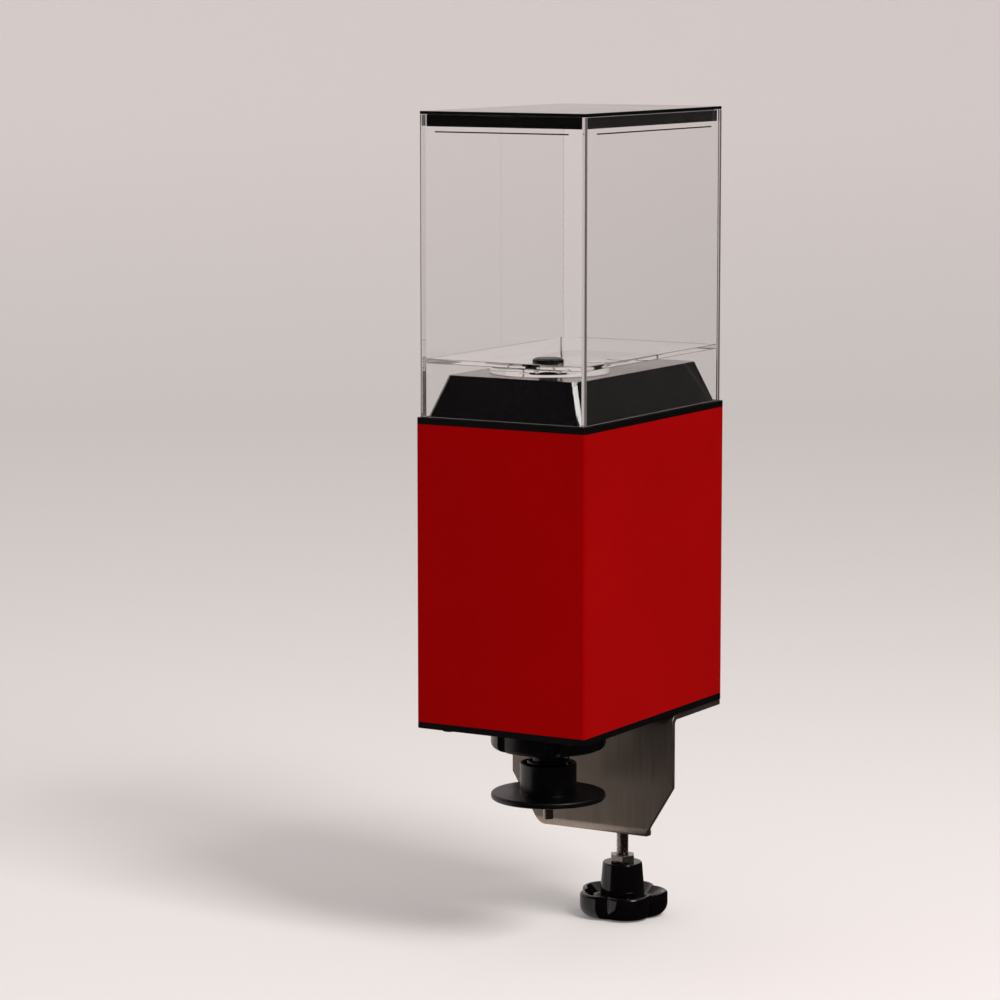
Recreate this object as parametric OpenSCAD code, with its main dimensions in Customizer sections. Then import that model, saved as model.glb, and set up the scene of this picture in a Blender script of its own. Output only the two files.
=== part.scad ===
// Table-edge drink dispenser: a clear tank on a metal body, a push-up tap below, a screw clamp behind.
// Frame: origin on the clamp seat, on the clamp screw's axis. +Z up, the front faces -Y.

/* [Body] */
// Width of the body, side to side
body_w = 120; // [112:1:160]
// Depth of the body, front to rear
body_d = 185; // [180:1:240]
// Height of the painted sleeve between the two plates
shell_h = 188; // [180:1:260]
// Sheet thickness of the sleeve
shell_t = 1.5; // [1:0.1:2.5]
// Outside radius of the sleeve's folded corners
shell_r = 2; // [1:0.1:5]
// Thickness of the top and base plates
plate_t = 4; // [3:0.5:8]
// Diameter of the four posts that tie the plates together
post_dia = 10; // [8:0.5:12]
// Distance from the body's faces to the posts' axes
post_inset = 15; // [14:0.5:17]
// Shank diameter of the plate and bracket screws
screw_dia = 5; // [4:0.5:6]
// Head diameter of the plate and bracket screws
screw_head_dia = 9; // [8:0.5:11]
// Height of the front base screws' heads
screw_head_h = 3; // [2:0.5:5]
// Length of a screw's shank in a post
screw_grip = 12; // [8:1:20]

/* [Deck] */
// Height of the tapered deck that the tank drops over
deck_h = 26; // [22:0.5:40]
// Inward taper of the deck on each side, from foot to top
deck_taper = 9.4; // [4:0.2:14]
// Wall of the hollow deck
deck_t = 3; // [2:0.5:5]
// Gap between the deck's foot and the inside of the tank
deck_clear = 0.3; // [0.2:0.05:0.8]

/* [Tank] */
// Setback of the tank's outer faces from the body's faces
tank_inset = 2; // [0.5:0.1:4]
// Height of the tank's walls
tank_h = 187; // [150:1:260]
// Thickness of the wall panes
pane_t = 3; // [2:0.1:4]
// Thickness of the tank floor
floor_t = 3; // [2:0.1:5]
// Fall of the tank floor from its edges to its flat middle
floor_fall = 4.5; // [2:0.5:8]
// Width of the floor's flat middle, round the outlet
outlet_flat = 30; // [28:1:60]
// Height of the clear outlet boss between the deck and the flat middle
boss_h = 3; // [2:0.2:12]
// Diameter of the outlet boss
boss_dia = 73; // [40:1:80]
// Diameter of the outlet spigot in the deck's socket
spigot_dia = 24; // [20:0.5:27]
// Length of the outlet spigot
spigot_h = 11; // [9:0.5:13]
// Cord diameter of the outlet's sealing ring
ring_dia = 1.6; // [1.2:0.1:2.4]
// Bore of the outlet
outlet_bore = 12; // [8:0.5:14]
// Diameter of the strainer cap on the floor
strainer_dia = 19.5; // [17:0.5:28]
// Height of the strainer cap
strainer_h = 2.8; // [2.4:0.2:8]
// Height of a fill line
fill_line_h = 0.8; // [0.5:0.1:2]
// Stand-off of a fill line from its pane
fill_line_t = 0.2; // [0.1:0.05:0.5]
// Drop from the lid's plug to the fill lines
fill_line_drop = 2.7; // [1:0.1:20]
// Distance from a front line's ends to the tank's corners
fill_margin_front = 11; // [5:0.5:30]
// Distance from a side line's ends to the tank's corners
fill_margin_side = 15; // [5:0.5:30]

/* [Lid] */
// Thickness of the lid plate
lid_t = 2; // [1.5:0.1:5]
// Depth of the plug under the lid plate
plug_h = 7.5; // [4:0.5:20]
// Gap between the plug and the tank's walls
plug_clear = 0.4; // [0.2:0.05:1]

/* [Heating vessel] */
// Outside diameter of the heated vessel
vessel_dia = 88; // [70:1:90]
// Wall of the vessel
vessel_t = 1.5; // [1:0.1:2.5]
// Height of the vessel
vessel_h = 108; // [80:1:112]
// Thickness of the vessel's cover
cover_t = 3; // [2:0.5:5]
// Height of the stand from the base plate to the vessel
stand_h = 32; // [26:1:36]
// Thickness of the stand's ring and skirt
stand_t = 3; // [2:0.5:4]
// Height of the heating band
band_h = 30; // [20:1:50]
// Thickness of the heating band
band_t = 3; // [2:0.5:4]
// Thickness of the insulating jacket
jacket_t = 7; // [4:0.5:8]
// Diameter of the thermostat
thermostat_dia = 17; // [12:1:22]
// Height of the thermostat
thermostat_h = 9; // [6:1:14]
// Diameter of the feed nipples on the deck and on the vessel's cover
nipple_dia = 14; // [12:0.5:17]
// Bore of the feed nipples
nipple_bore = 10; // [6:0.5:10]
// Length of each feed nipple inside the feed tube
nipple_h = 14; // [9:1:16]
// Wall of the feed tube
feed_t = 2.5; // [1.5:0.1:3]

/* [Dispensing head] */
// Distance from the body's front to the head's axis
head_setback = 61.5; // [59:0.5:64]
// Diameter of the star collar
collar_dia = 73; // [64:1:90]
// Height of the star collar
collar_h = 17; // [12:0.5:26]
// Number of finger grooves round the collar
collar_grooves = 6; // [5:1:10]
// Width of a finger groove
groove_w = 8; // [5:0.5:12]
// Depth of a finger groove
groove_depth = 4; // [2:0.5:6]
// Turn of the grooves from the +X axis, in degrees
groove_turn = 4.5; // [0:0.5:60]
// Radius of the collar's lower edge
collar_round = 4; // [1:0.5:6]
// Diameter of the valve body in the base plate
valve_dia = 30; // [26:0.5:34]
// Diameter of the valve body's flange on the base plate
valve_flange_dia = 46; // [40:1:56]
// Thickness of the valve body's flange
valve_flange_t = 4; // [2:0.5:6]
// Diameter of the valve's chamber
chamber_dia = 16; // [14:0.5:18]
// Diameter of the guide below the collar
guide_dia = 20; // [16:0.5:21]
// Depth of the guide inside the push cup at rest
guide_dip = 8; // [4:0.5:9]
// Travel of the push disc
push_travel = 9.5; // [4:0.5:10]
// Outside diameter of the push cup
cup_dia = 36; // [34:0.5:44]
// Wall of the push cup
cup_t = 2.5; // [1.5:0.1:3]
// Height of the push cup above the disc
cup_h = 19; // [18.5:0.5:30]
// Diameter of the push disc
disc_dia = 73; // [60:1:90]
// Thickness of the push disc
disc_t = 4; // [2.5:0.5:6]
// Outside diameter of the spout tube
spout_dia = 6.6; // [5:0.2:8]
// Bore of the spout tube
spout_bore = 4.4; // [3:0.2:4.6]
// Length of the spout tube below the disc
spout_tip = 13.5; // [6:0.5:24]
// Diameter of the valve poppet
poppet_dia = 12; // [11:0.5:13]
// Thickness of the valve poppet
poppet_h = 6; // [4:0.5:10]
// Thickness of the poppet's seal
seal_t = 2; // [1:0.5:4]
// Wire diameter of the return spring
wire_dia = 1.6; // [1.2:0.1:2]
// Mean diameter of the return spring
coil_dia = 25.6; // [24:0.2:26.4]
// Number of turns of the return spring
coil_turns = 7; // [4:1:9]

/* [Bracket] */
// Setback of the bracket's edges from the body's sides
bracket_inset = 1; // [0:0.5:6]
// Sheet thickness of the bracket
bracket_t = 4; // [3:0.5:6]
// Inside radius of the bracket's bends
bend_r = 3; // [2:0.5:6]
// Distance from the body's front to the bracket's upright
upright_setback = 118; // [110:0.5:122]
// Drop from the seat to the underside of the lower jaw
jaw_drop = 79; // [72:1:110]
// Drop from the seat to the start of the tapered corners
taper_start = 44.5; // [20:0.5:60]
// Width of the lower jaw's underside at its bend
jaw_w = 76; // [40:1:104]
// Width of the lower jaw at its far end
jaw_tip_w = 22; // [18:1:38]
// Reach of the lower jaw past the clamp screw's axis
jaw_reach = 16; // [13:0.5:40]
// Distance from the body's front to the clamp screw's axis
screw_setback = 161; // [150:0.5:166]
// Distance from the upright to the front pair of bracket screws
bracket_screw_gap = 18; // [14:0.5:22]

/* [Clamp] */
// Thickness of the table top gripped at rest
table_t = 23; // [14:0.5:40]
// Diameter of the clamp screw
rod_dia = 8; // [6:0.5:10]
// Length of bare rod between the pad and the lock nut
rod_free = 67; // [60:1:120]
// Diameter of the pad
pad_dia = 34; // [26:1:50]
// Overhang of the rubber face round the pad's foot plate
rubber_lip = 1; // [0:0.5:3]
// Thickness of the pad's rubber face
rubber_t = 3; // [1.5:0.5:6]
// Thickness of the pad's foot plate
foot_t = 3; // [2:0.5:5]
// Height of the pad's socket
socket_h = 6; // [5:0.5:9]
// Diameter of the pad's socket
socket_dia = 15; // [13:0.5:20]
// Diameter of the threaded bush in the jaw
bush_dia = 16; // [14:0.5:22]
// Height of the threaded bush above the jaw
bush_h = 7; // [4:0.5:9]
// Width across the flats of the lock nut
nut_flats = 15; // [13:0.5:18]
// Height of the lock nut
nut_h = 5; // [3:0.5:8]
// Diameter of the clamp knob over its lobes
knob_dia = 60; // [46:1:80]
// Number of lobes on the knob
knob_lobes = 5; // [4:1:8]
// Turn of the lobes from the +X axis, in degrees
lobe_turn = 23; // [0:0.5:90]
// Radius of a lobe's tip
lobe_r = 15.5; // [8:0.5:18]
// Height of the knob's hub
hub_h = 19; // [10:0.5:30]
// Diameter of the knob's hub at its top
hub_dia = 26; // [20:0.5:32]
// Widening of the hub from its top to its foot, on each side
hub_flare = 2; // [0.5:0.5:4]
// Width of the flat lip on the knob's rim
rim_lip = 3; // [1:0.5:5]
// Height of the knob's lobed rim
rim_h = 16; // [10:0.5:24]
// Depth of the dish between the rim and the hub
dish_h = 5; // [2:0.5:8]
// Radius of the rim's lower edge
rim_round = 7; // [2:0.5:9]

/* [Power entry] */
// Width of the power inlet's flange
inlet_w = 30; // [28:1:34]
// Height of the power inlet's flange
inlet_h = 24; // [22:1:34]
// Depth of the power inlet's housing
inlet_d = 22; // [14:1:28]
// Width of the switch's flange
switch_w = 16; // [14:1:26]
// Height of the switch's flange
switch_h = 24; // [20:1:34]
// Depth of the switch's housing
switch_d = 18; // [12:1:26]
// Thickness of the inlet's and the switch's flanges
flange_t = 1.5; // [1:0.1:3]
// Border of the flanges round their housings
flange_border = 2; // [1.5:0.5:4]
// Corner radius of the flanges
flange_r = 1.5; // [0.5:0.1:3]
// Wall of the inlet's and the switch's housings
housing_t = 1.5; // [1:0.1:2]
// Thickness of the housings' inner ends
housing_end = 2; // [1.5:0.1:4]
// Wall left over the ends of the rocker's pin
pin_skin = 0.5; // [0.3:0.1:0.8]
// Swing of the rocker to each side, in degrees
rocker_swing = 10; // [5:1:15]
// Radius of the rocker's pin
rocker_pin_r = 1.5; // [1:0.1:2]
// Height of the inlet's and the switch's centres above the base plate
power_rise = 42; // [24:1:80]
// Distance of the inlet's and the switch's centres from the middle
power_offset = 20; // [18:1:24]

/* [Fits] */
// Gap under a piece that lifts off
seat_gap = 0.2; // [0.1:0.05:0.5]
// Radial gap of a running fit
run_clear = 0.08; // [0.02:0.01:0.1]
// Gap round a piece that passes through a hole
pass_clear = 0.4; // [0.2:0.1:1]

/* [Hidden] */
$fn = 64;
eps = 0.01;

// Levels, from the clamp seat upwards
base_z = bracket_t;
shell_z = base_z + plate_t;
top_z = shell_z + shell_h;
tank_z = top_z + plate_t + seat_gap;
deck_top_z = top_z + plate_t + deck_h;
boss_z = deck_top_z + seat_gap;
floor_z = boss_z + boss_h;
rim_z = tank_z + tank_h;
lid_z = rim_z + seat_gap;
plug_z = lid_z - plug_h;
fill_line_z = plug_z - fill_line_drop - fill_line_h;
vessel_z = shell_z + stand_h;
cover_z = vessel_z + vessel_h;

// Levels, from the base plate downwards
collar_z = base_z - collar_h;
cup_top_z = collar_z - push_travel - seat_gap;
disc_z = cup_top_z - cup_h;
guide_z = cup_top_z - guide_dip;
seal_z = base_z - plate_t;
pad_z = -table_t;
foot_z = pad_z - rubber_t - foot_t;
socket_z = foot_z - socket_h;
nut_z = socket_z - rod_free;
hub_z = nut_z - nut_h;
rim_top_z = hub_z - hub_h;
knob_z = rim_top_z - rim_h;
jaw_z = -jaw_drop;

// Places, front to rear
front_y = -screw_setback;
rear_y = front_y + body_d;
mid_y = (front_y + rear_y) / 2;
head_y = front_y + head_setback;
upright_y = front_y + upright_setback;

// Sizes that fit one another
tank_w = body_w - 2 * tank_inset;
tank_d = body_d - 2 * tank_inset;
tank_in_w = tank_w - 2 * pane_t;
tank_in_d = tank_d - 2 * pane_t;
deck_w = tank_in_w - 2 * deck_clear;
deck_d = tank_in_d - 2 * deck_clear;
socket_bore = spigot_dia + ring_dia + seat_gap;
fold_inner_r = max(shell_r - shell_t, 0.2);
post_x = body_w / 2 - post_inset;
post_front_y = front_y + post_inset;
post_rear_y = rear_y - post_inset;
bracket_screw_y = upright_y + bracket_screw_gap;
jacket_bore = vessel_dia + 2 * band_t + 2 * pass_clear;
jacket_dia = jacket_bore + 2 * jacket_t;
cup_bore = cup_dia - 2 * cup_t;
bend_out = bend_r + bracket_t;
bend_y = upright_y + bend_out;
bracket_w = body_w - 2 * bracket_inset;
power_z = shell_z + power_rise;
rocker_pin_room = switch_w - 2 * flange_border - 2 * pin_skin;
pin_bore = spout_dia + 2 * run_clear;
swivel_dia = rod_dia - 2;
screw_hole = screw_dia + 2 * seat_gap;

// Shapes that repeat

module at_posts() {
    for (x = [-post_x, post_x], y = [post_front_y, post_rear_y]) {
        translate([x, y, 0]) children();
    }
}

module at_pair(y) {
    for (x = [-post_x, post_x]) {
        translate([x, y, 0]) children();
    }
}

module rounded_rect(w, d, r) {
    square([w - 2 * r, d], center = true);
    square([w, d - 2 * r], center = true);
    for (x = [-1, 1], y = [-1, 1]) {
        translate([x * (w / 2 - r), y * (d / 2 - r)]) circle(r);
    }
}

module block(w, d, h, r) {
    linear_extrude(h) rounded_rect(w, d, r);
}

module tube(outer, inner, h) {
    difference() {
        cylinder(d = outer, h = h);
        translate([0, 0, -1]) cylinder(d = inner, h = h + 2);
    }
}

module frustum(w, d, h, taper) {
    intersection() {
        rotate([90, 0, 0]) linear_extrude(d + 2, center = true) trapezium(w, h, taper);
        rotate([90, 0, 90]) linear_extrude(w + 2, center = true) trapezium(d, h, taper);
    }
}

module trapezium(w, h, taper) {
    polygon([[-w / 2, 0], [w / 2, 0], [w / 2 - taper, h], [taper - w / 2, h]]);
}

// Countersunk screw, its head's flat face at z = 0 and its shank downwards
module countersunk(reach) {
    head_h = (screw_head_dia - screw_dia) / 2;
    translate([0, 0, -head_h]) cylinder(d1 = screw_dia, d2 = screw_head_dia, h = head_h);
    translate([0, 0, -reach]) cylinder(d = screw_dia, h = reach - head_h + eps);
}

module countersink_hole(reach) {
    head_h = (screw_head_dia - screw_dia) / 2;
    wide = 2 * seat_gap;
    translate([0, 0, -head_h]) cylinder(d1 = screw_dia + wide, d2 = screw_head_dia + wide, h = head_h + eps);
    translate([0, 0, -reach]) cylinder(d = screw_dia + wide, h = reach);
}

// Body

module body_shell() {
    color("firebrick") difference() {
        translate([0, mid_y, shell_z]) block(body_w, body_d, shell_h, shell_r);
        translate([0, mid_y, shell_z - 1])
            block(body_w - 2 * shell_t, body_d - 2 * shell_t, shell_h + 2, fold_inner_r);
        translate([-power_offset, rear_y, power_z]) wall_cutout(inlet_w, inlet_h);
        translate([power_offset, rear_y, power_z]) wall_cutout(switch_w, switch_h);
    }
}

// Opening in the rear wall for a housing whose flange measures w by h
module wall_cutout(w, h) {
    spare = seat_gap - 2 * flange_border;
    cube([w + spare, 4 * shell_t, h + spare], center = true);
}

module top_plate() {
    color([0.08, 0.08, 0.09]) difference() {
        translate([0, mid_y, top_z]) block(body_w, body_d, plate_t, shell_r);
        translate([0, head_y, top_z - 1])
            cylinder(d = nipple_dia + 2 * feed_t + 2 * pass_clear, h = plate_t + 2);
        at_posts() translate([0, 0, top_z + plate_t]) countersink_hole(plate_t + 1);
    }
}

module base_plate() {
    color([0.08, 0.08, 0.09]) difference() {
        translate([0, mid_y, base_z]) block(body_w, body_d, plate_t, shell_r);
        translate([0, head_y, base_z - 1]) cylinder(d = valve_dia + 2 * pass_clear, h = plate_t + 2);
        at_posts() translate([0, 0, base_z - 1]) cylinder(d = screw_hole, h = plate_t + 2);
        at_pair(bracket_screw_y) translate([0, 0, base_z - 1]) cylinder(d = screw_hole, h = plate_t + 2);
    }
}

module corner_posts() {
    color("silver") at_posts() translate([0, 0, shell_z]) difference() {
        cylinder(d = post_dia, h = shell_h);
        for (z = [-1, shell_h - screw_grip - 1]) {
            translate([0, 0, z]) cylinder(d = screw_hole, h = screw_grip + 2);
        }
    }
}

module plate_screws() {
    color("silver") at_posts() translate([0, 0, top_z + plate_t]) countersunk(plate_t + screw_grip);
}

module front_base_screws() {
    color([0.08, 0.08, 0.09]) at_pair(post_front_y) translate([0, 0, base_z]) difference() {
        union() {
            cylinder(d = screw_dia, h = plate_t + screw_grip);
            translate([0, 0, -screw_head_h]) cylinder(d = screw_head_dia, h = screw_head_h);
        }
        translate([0, 0, -screw_head_h - 1]) cylinder(d = screw_dia / 2, h = screw_head_h, $fn = 6);
    }
}

// Deck and tank

module deck() {
    color([0.05, 0.05, 0.06]) translate([0, mid_y, top_z + plate_t]) {
        difference() {
            frustum(deck_w, deck_d, deck_h, deck_taper);
            translate([0, 0, -eps])
                frustum(deck_w - 2 * deck_t, deck_d - 2 * deck_t, deck_h - deck_t, deck_taper);
            translate([0, head_y - mid_y, 0]) cylinder(d = socket_bore + deck_t, h = deck_h + 1);
        }
        translate([0, head_y - mid_y, 0]) deck_socket();
    }
}

// Cup in the deck that takes the tank's outlet, with the feed nipple below it
module deck_socket() {
    floor_at = deck_h - spigot_h - 1;
    nipple_at = -plate_t - nipple_h;
    difference() {
        union() {
            translate([0, 0, floor_at - deck_t])
                cylinder(d = socket_bore + 2 * deck_t, h = deck_h - floor_at + deck_t);
            translate([0, 0, nipple_at]) cylinder(d = nipple_dia, h = floor_at - nipple_at);
        }
        translate([0, 0, floor_at]) cylinder(d = socket_bore, h = deck_h);
        translate([0, 0, nipple_at - 1]) cylinder(d = nipple_bore, h = deck_h - nipple_at);
    }
}

module cross_pane(y) {
    color([0.85, 0.9, 0.92, 0.3]) translate([-tank_w / 2, y, tank_z]) cube([tank_w, pane_t, tank_h]);
}

module side_pane(x) {
    color([0.85, 0.9, 0.92, 0.3]) translate([x, mid_y - tank_in_d / 2, tank_z])
        cube([pane_t, tank_in_d, tank_h]);
}

module tank_front_pane() {
    cross_pane(mid_y - tank_d / 2);
}

module tank_rear_pane() {
    cross_pane(mid_y + tank_d / 2 - pane_t);
}

module tank_left_pane() {
    side_pane(-tank_w / 2);
}

module tank_right_pane() {
    side_pane(tank_w / 2 - pane_t);
}

// Block over the whole tank floor, flat on top, whose underside falls from the walls to the outlet
module sloped_block(h) {
    top = floor_fall + h;
    half_w = tank_in_w / 2;
    half_flat = outlet_flat / 2;
    front = mid_y - tank_in_d / 2;
    rear = mid_y + tank_in_d / 2;
    intersection() {
        translate([0, mid_y, 0]) rotate([90, 0, 0]) linear_extrude(tank_d, center = true) polygon([
            [-half_flat, 0], [half_flat, 0], [half_w, floor_fall],
            [half_w, top], [-half_w, top], [-half_w, floor_fall]
        ]);
        rotate([90, 0, 90]) linear_extrude(tank_w, center = true) polygon([
            [head_y - half_flat, 0], [head_y + half_flat, 0], [rear, floor_fall],
            [rear, top], [front, top], [front, floor_fall]
        ]);
    }
}

module tank_floor() {
    color([0.85, 0.9, 0.92, 0.3]) difference() {
        translate([0, 0, floor_z]) sloped_block(floor_t);
        translate([0, 0, floor_z + floor_t]) sloped_block(floor_t);
        translate([0, head_y, floor_z - 1]) cylinder(d = outlet_bore, h = floor_t + 2);
    }
}

// Spigot under a clear boss, which reaches up to the floor's sloped underside
module tank_outlet() {
    color([0.85, 0.9, 0.92, 0.3]) difference() {
        translate([0, head_y, 0]) {
            translate([0, 0, boss_z]) cylinder(d = boss_dia, h = boss_h + floor_fall);
            translate([0, 0, boss_z - spigot_h]) cylinder(d = spigot_dia, h = spigot_h + 1);
        }
        translate([0, 0, floor_z]) sloped_block(floor_t);
        translate([0, head_y, boss_z - spigot_h - 1]) cylinder(d = outlet_bore, h = boss_h + spigot_h + 2);
        translate([0, head_y, boss_z - spigot_h / 2]) ring_groove();
    }
}

module ring_groove() {
    rotate_extrude() translate([spigot_dia / 2, 0]) circle(d = ring_dia + 2 * seat_gap, $fn = 32);
}

module outlet_ring() {
    color("dimgray") translate([0, head_y, boss_z - spigot_h / 2])
        rotate_extrude() translate([spigot_dia / 2 - seat_gap / 2, 0]) circle(d = ring_dia, $fn = 32);
}

module strainer_cap() {
    slots = 8;
    slot_w = 1.2;
    ledge = 0.6;
    crown = 1;
    wall = 1.5;
    side_h = strainer_h - crown;
    color([0.06, 0.06, 0.06]) translate([0, head_y, floor_z + floor_t]) difference() {
        union() {
            cylinder(d = strainer_dia, h = side_h);
            translate([0, 0, side_h]) cylinder(d1 = strainer_dia, d2 = strainer_dia - 4 * crown, h = crown);
            translate([0, 0, -floor_t]) cylinder(d = outlet_bore - 2 * run_clear, h = floor_t + ledge);
        }
        translate([0, 0, -floor_t - 1]) cylinder(d = outlet_bore - 2 * wall, h = floor_t + 1 + side_h);
        for (i = [0 : slots - 1]) {
            rotate(i * 360 / slots) translate([0, -slot_w / 2, ledge])
                cube([strainer_dia, slot_w, side_h - ledge]);
        }
    }
}

module fill_lines() {
    front_w = tank_w - 2 * fill_margin_front;
    side_d = tank_d - 2 * fill_margin_side;
    color([0.1, 0.1, 0.1]) {
        translate([-front_w / 2, mid_y - tank_d / 2 - fill_line_t, fill_line_z])
            cube([front_w, fill_line_t, fill_line_h]);
        translate([tank_w / 2, mid_y - side_d / 2, fill_line_z])
            cube([fill_line_t, side_d, fill_line_h]);
    }
}

module lid_plate() {
    color([0.06, 0.06, 0.07]) translate([-tank_w / 2, mid_y - tank_d / 2, lid_z])
        cube([tank_w, tank_d, lid_t]);
}

module lid_plug() {
    w = tank_in_w - 2 * plug_clear;
    d = tank_in_d - 2 * plug_clear;
    color([0.06, 0.06, 0.07]) translate([-w / 2, mid_y - d / 2, plug_z]) cube([w, d, plug_h]);
}

// Heating vessel

module vessel_stand() {
    color("silver") translate([0, head_y, shell_z]) {
        tube(vessel_dia - 2 * stand_t, vessel_dia - 4 * stand_t, stand_h - stand_t + eps);
        translate([0, 0, stand_h - stand_t]) tube(jacket_dia, valve_dia + 2 * pass_clear, stand_t);
    }
}

module vessel() {
    color("gainsboro") translate([0, head_y, vessel_z]) difference() {
        cylinder(d = vessel_dia, h = vessel_h);
        translate([0, 0, vessel_t]) cylinder(d = vessel_dia - 2 * vessel_t, h = vessel_h);
        translate([0, 0, -1]) cylinder(d = chamber_dia, h = vessel_t + 2);
    }
}

module vessel_cover() {
    color("gainsboro") translate([0, head_y, cover_z]) difference() {
        union() {
            cylinder(d = vessel_dia, h = cover_t);
            cylinder(d = nipple_dia, h = cover_t + nipple_h);
        }
        translate([0, 0, -1]) cylinder(d = nipple_bore, h = cover_t + nipple_h + 2);
    }
}

module heating_band() {
    color("peru") translate([0, head_y, vessel_z + band_h / 2])
        tube(vessel_dia + 2 * band_t, vessel_dia, band_h);
}

module insulating_jacket() {
    color("lightgray") translate([0, head_y, vessel_z]) tube(jacket_dia, jacket_bore, vessel_h);
}

module thermostat() {
    blade_t = 0.8;
    blade_w = 6;
    blade_h = 8;
    color("ivory") translate([0, head_y + vessel_dia / 4, cover_z + cover_t]) {
        cylinder(d = thermostat_dia, h = thermostat_h);
        for (x = [-thermostat_dia / 4, thermostat_dia / 4]) {
            translate([x - blade_t / 2, -blade_w / 2, thermostat_h - eps]) cube([blade_t, blade_w, blade_h]);
        }
    }
}

module feed_tube() {
    bottom = cover_z + cover_t;
    top = top_z + plate_t - seat_gap;
    color([0.9, 0.9, 0.85, 0.6]) translate([0, head_y, bottom])
        tube(nipple_dia + 2 * feed_t, nipple_dia + 2 * run_clear, top - bottom);
}

// Dispensing head

module outlet_gasket() {
    color([0.2, 0.2, 0.2]) translate([0, head_y, vessel_z - stand_t])
        tube(valve_dia, chamber_dia, stand_t);
}

module valve_body() {
    top = vessel_z - stand_t;
    color([0.12, 0.12, 0.13]) translate([0, head_y, 0]) difference() {
        union() {
            translate([0, 0, collar_z]) cylinder(d = valve_dia, h = top - collar_z);
            translate([0, 0, shell_z]) cylinder(d = valve_flange_dia, h = valve_flange_t);
            translate([0, 0, guide_z]) cylinder(d = guide_dia, h = collar_z - guide_z + 1);
        }
        translate([0, 0, seal_z]) cylinder(d = chamber_dia, h = top);
        translate([0, 0, guide_z - 1]) cylinder(d = pin_bore, h = seal_z - guide_z + 2);
    }
}

module star_collar() {
    r = collar_dia / 2;
    bore_r = valve_dia / 2 + run_clear;
    color([0.05, 0.05, 0.05]) translate([0, head_y, collar_z]) difference() {
        rotate_extrude() {
            translate([bore_r, 0]) square([r - collar_round - bore_r, collar_h]);
            translate([bore_r, collar_round]) square([r - bore_r, collar_h - collar_round]);
            translate([r - collar_round, collar_round]) circle(collar_round);
        }
        for (i = [0 : collar_grooves - 1]) {
            rotate(groove_turn + i * 360 / collar_grooves)
                translate([r - groove_depth + groove_w / 2, 0, -1]) cylinder(d = groove_w, h = collar_h + 2);
        }
    }
}

// The spring's wire follows a helix whose end turns lie closed
ring_steps = 8;
wire_sides = 6;
spring_low_z = disc_z + seat_gap + wire_dia / 2;
spring_high_z = collar_z - seat_gap - wire_dia / 2;
end_rise = wire_dia + 0.5;
function spring_rise(turn) =
    let (
        open_turns = coil_turns - 2,
        open_rise = spring_high_z - spring_low_z - 2 * end_rise
    )
    turn < 1 ? turn * end_rise
    : turn > coil_turns - 1 ? end_rise + open_rise + (turn - coil_turns + 1) * end_rise
    : end_rise + (turn - 1) / open_turns * open_rise;
function spring_point(i) =
    let (turn = i / ring_steps, a = 360 * turn)
    [coil_dia / 2 * cos(a), head_y + coil_dia / 2 * sin(a), spring_low_z + spring_rise(turn)];
spring_rings = coil_turns * ring_steps;
spring_path = [for (i = [0 : spring_rings]) spring_point(i)];
spring_gap = min([
    for (i = [0 : spring_rings - ring_steps]) spring_path[i + ring_steps].z - spring_path[i].z - wire_dia
]);
function wire_point(i, k) =
    let (turn = 360 * i / ring_steps, a = 360 * k / wire_sides, out = wire_dia / 2 * cos(a))
    spring_path[i] + [out * cos(turn), out * sin(turn), wire_dia / 2 * sin(a)];

module return_spring() {
    points = [for (i = [0 : spring_rings], k = [0 : wire_sides - 1]) wire_point(i, k)];
    last = spring_rings * wire_sides;
    sides = [
        for (i = [0 : spring_rings - 1], k = [0 : wire_sides - 1], half = [0, 1])
            let (
                a = i * wire_sides + k,
                b = i * wire_sides + (k + 1) % wire_sides
            )
            half == 0 ? [a, b, b + wire_sides] : [a, b + wire_sides, a + wire_sides]
    ];
    low_end = [for (k = [1 : wire_sides - 2]) [0, k + 1, k]];
    high_end = [for (k = [1 : wire_sides - 2]) [last, last + k, last + k + 1]];
    echo(spring_self_gap = spring_gap);
    color("silver") polyhedron(points, concat(sides, low_end, high_end));
}

module push_disc() {
    color([0.05, 0.05, 0.05]) translate([0, head_y, disc_z]) difference() {
        union() {
            tube(cup_dia, cup_bore, cup_h);
            translate([0, 0, -disc_t]) rotate_extrude() {
                square([disc_dia / 2 - disc_t / 2, disc_t]);
                translate([disc_dia / 2 - disc_t / 2, disc_t / 2]) circle(d = disc_t);
            }
        }
        translate([0, 0, -disc_t - 1]) cylinder(d = pin_bore, h = disc_t + 2);
    }
}

module spout_tube() {
    low = disc_z - disc_t - spout_tip;
    high = seal_z + seal_t + poppet_h;
    color("silver") translate([0, head_y, 0]) difference() {
        translate([0, 0, low]) cylinder(d = spout_dia, h = high - low);
        translate([0, 0, low - 1]) cylinder(d = spout_bore, h = high - low - poppet_h);
        for (turn = [0, 90]) {
            translate([0, 0, seal_z - spout_bore]) rotate([90, 0, turn])
                cylinder(d = spout_bore / 2, h = 2 * spout_dia, center = true);
        }
    }
}

module valve_poppet() {
    color("goldenrod") translate([0, head_y, seal_z + seal_t + seat_gap])
        tube(poppet_dia, pin_bore, poppet_h);
}

module poppet_seal() {
    color([0.15, 0.15, 0.15]) translate([0, head_y, seal_z + seat_gap])
        tube(poppet_dia, pin_bore, seal_t);
}

// Bracket and clamp

module bend_quarter() {
    difference() {
        circle(bend_out);
        circle(bend_r);
        translate([0, -bend_out]) square([bend_out, 2 * bend_out]);
    }
}

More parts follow.
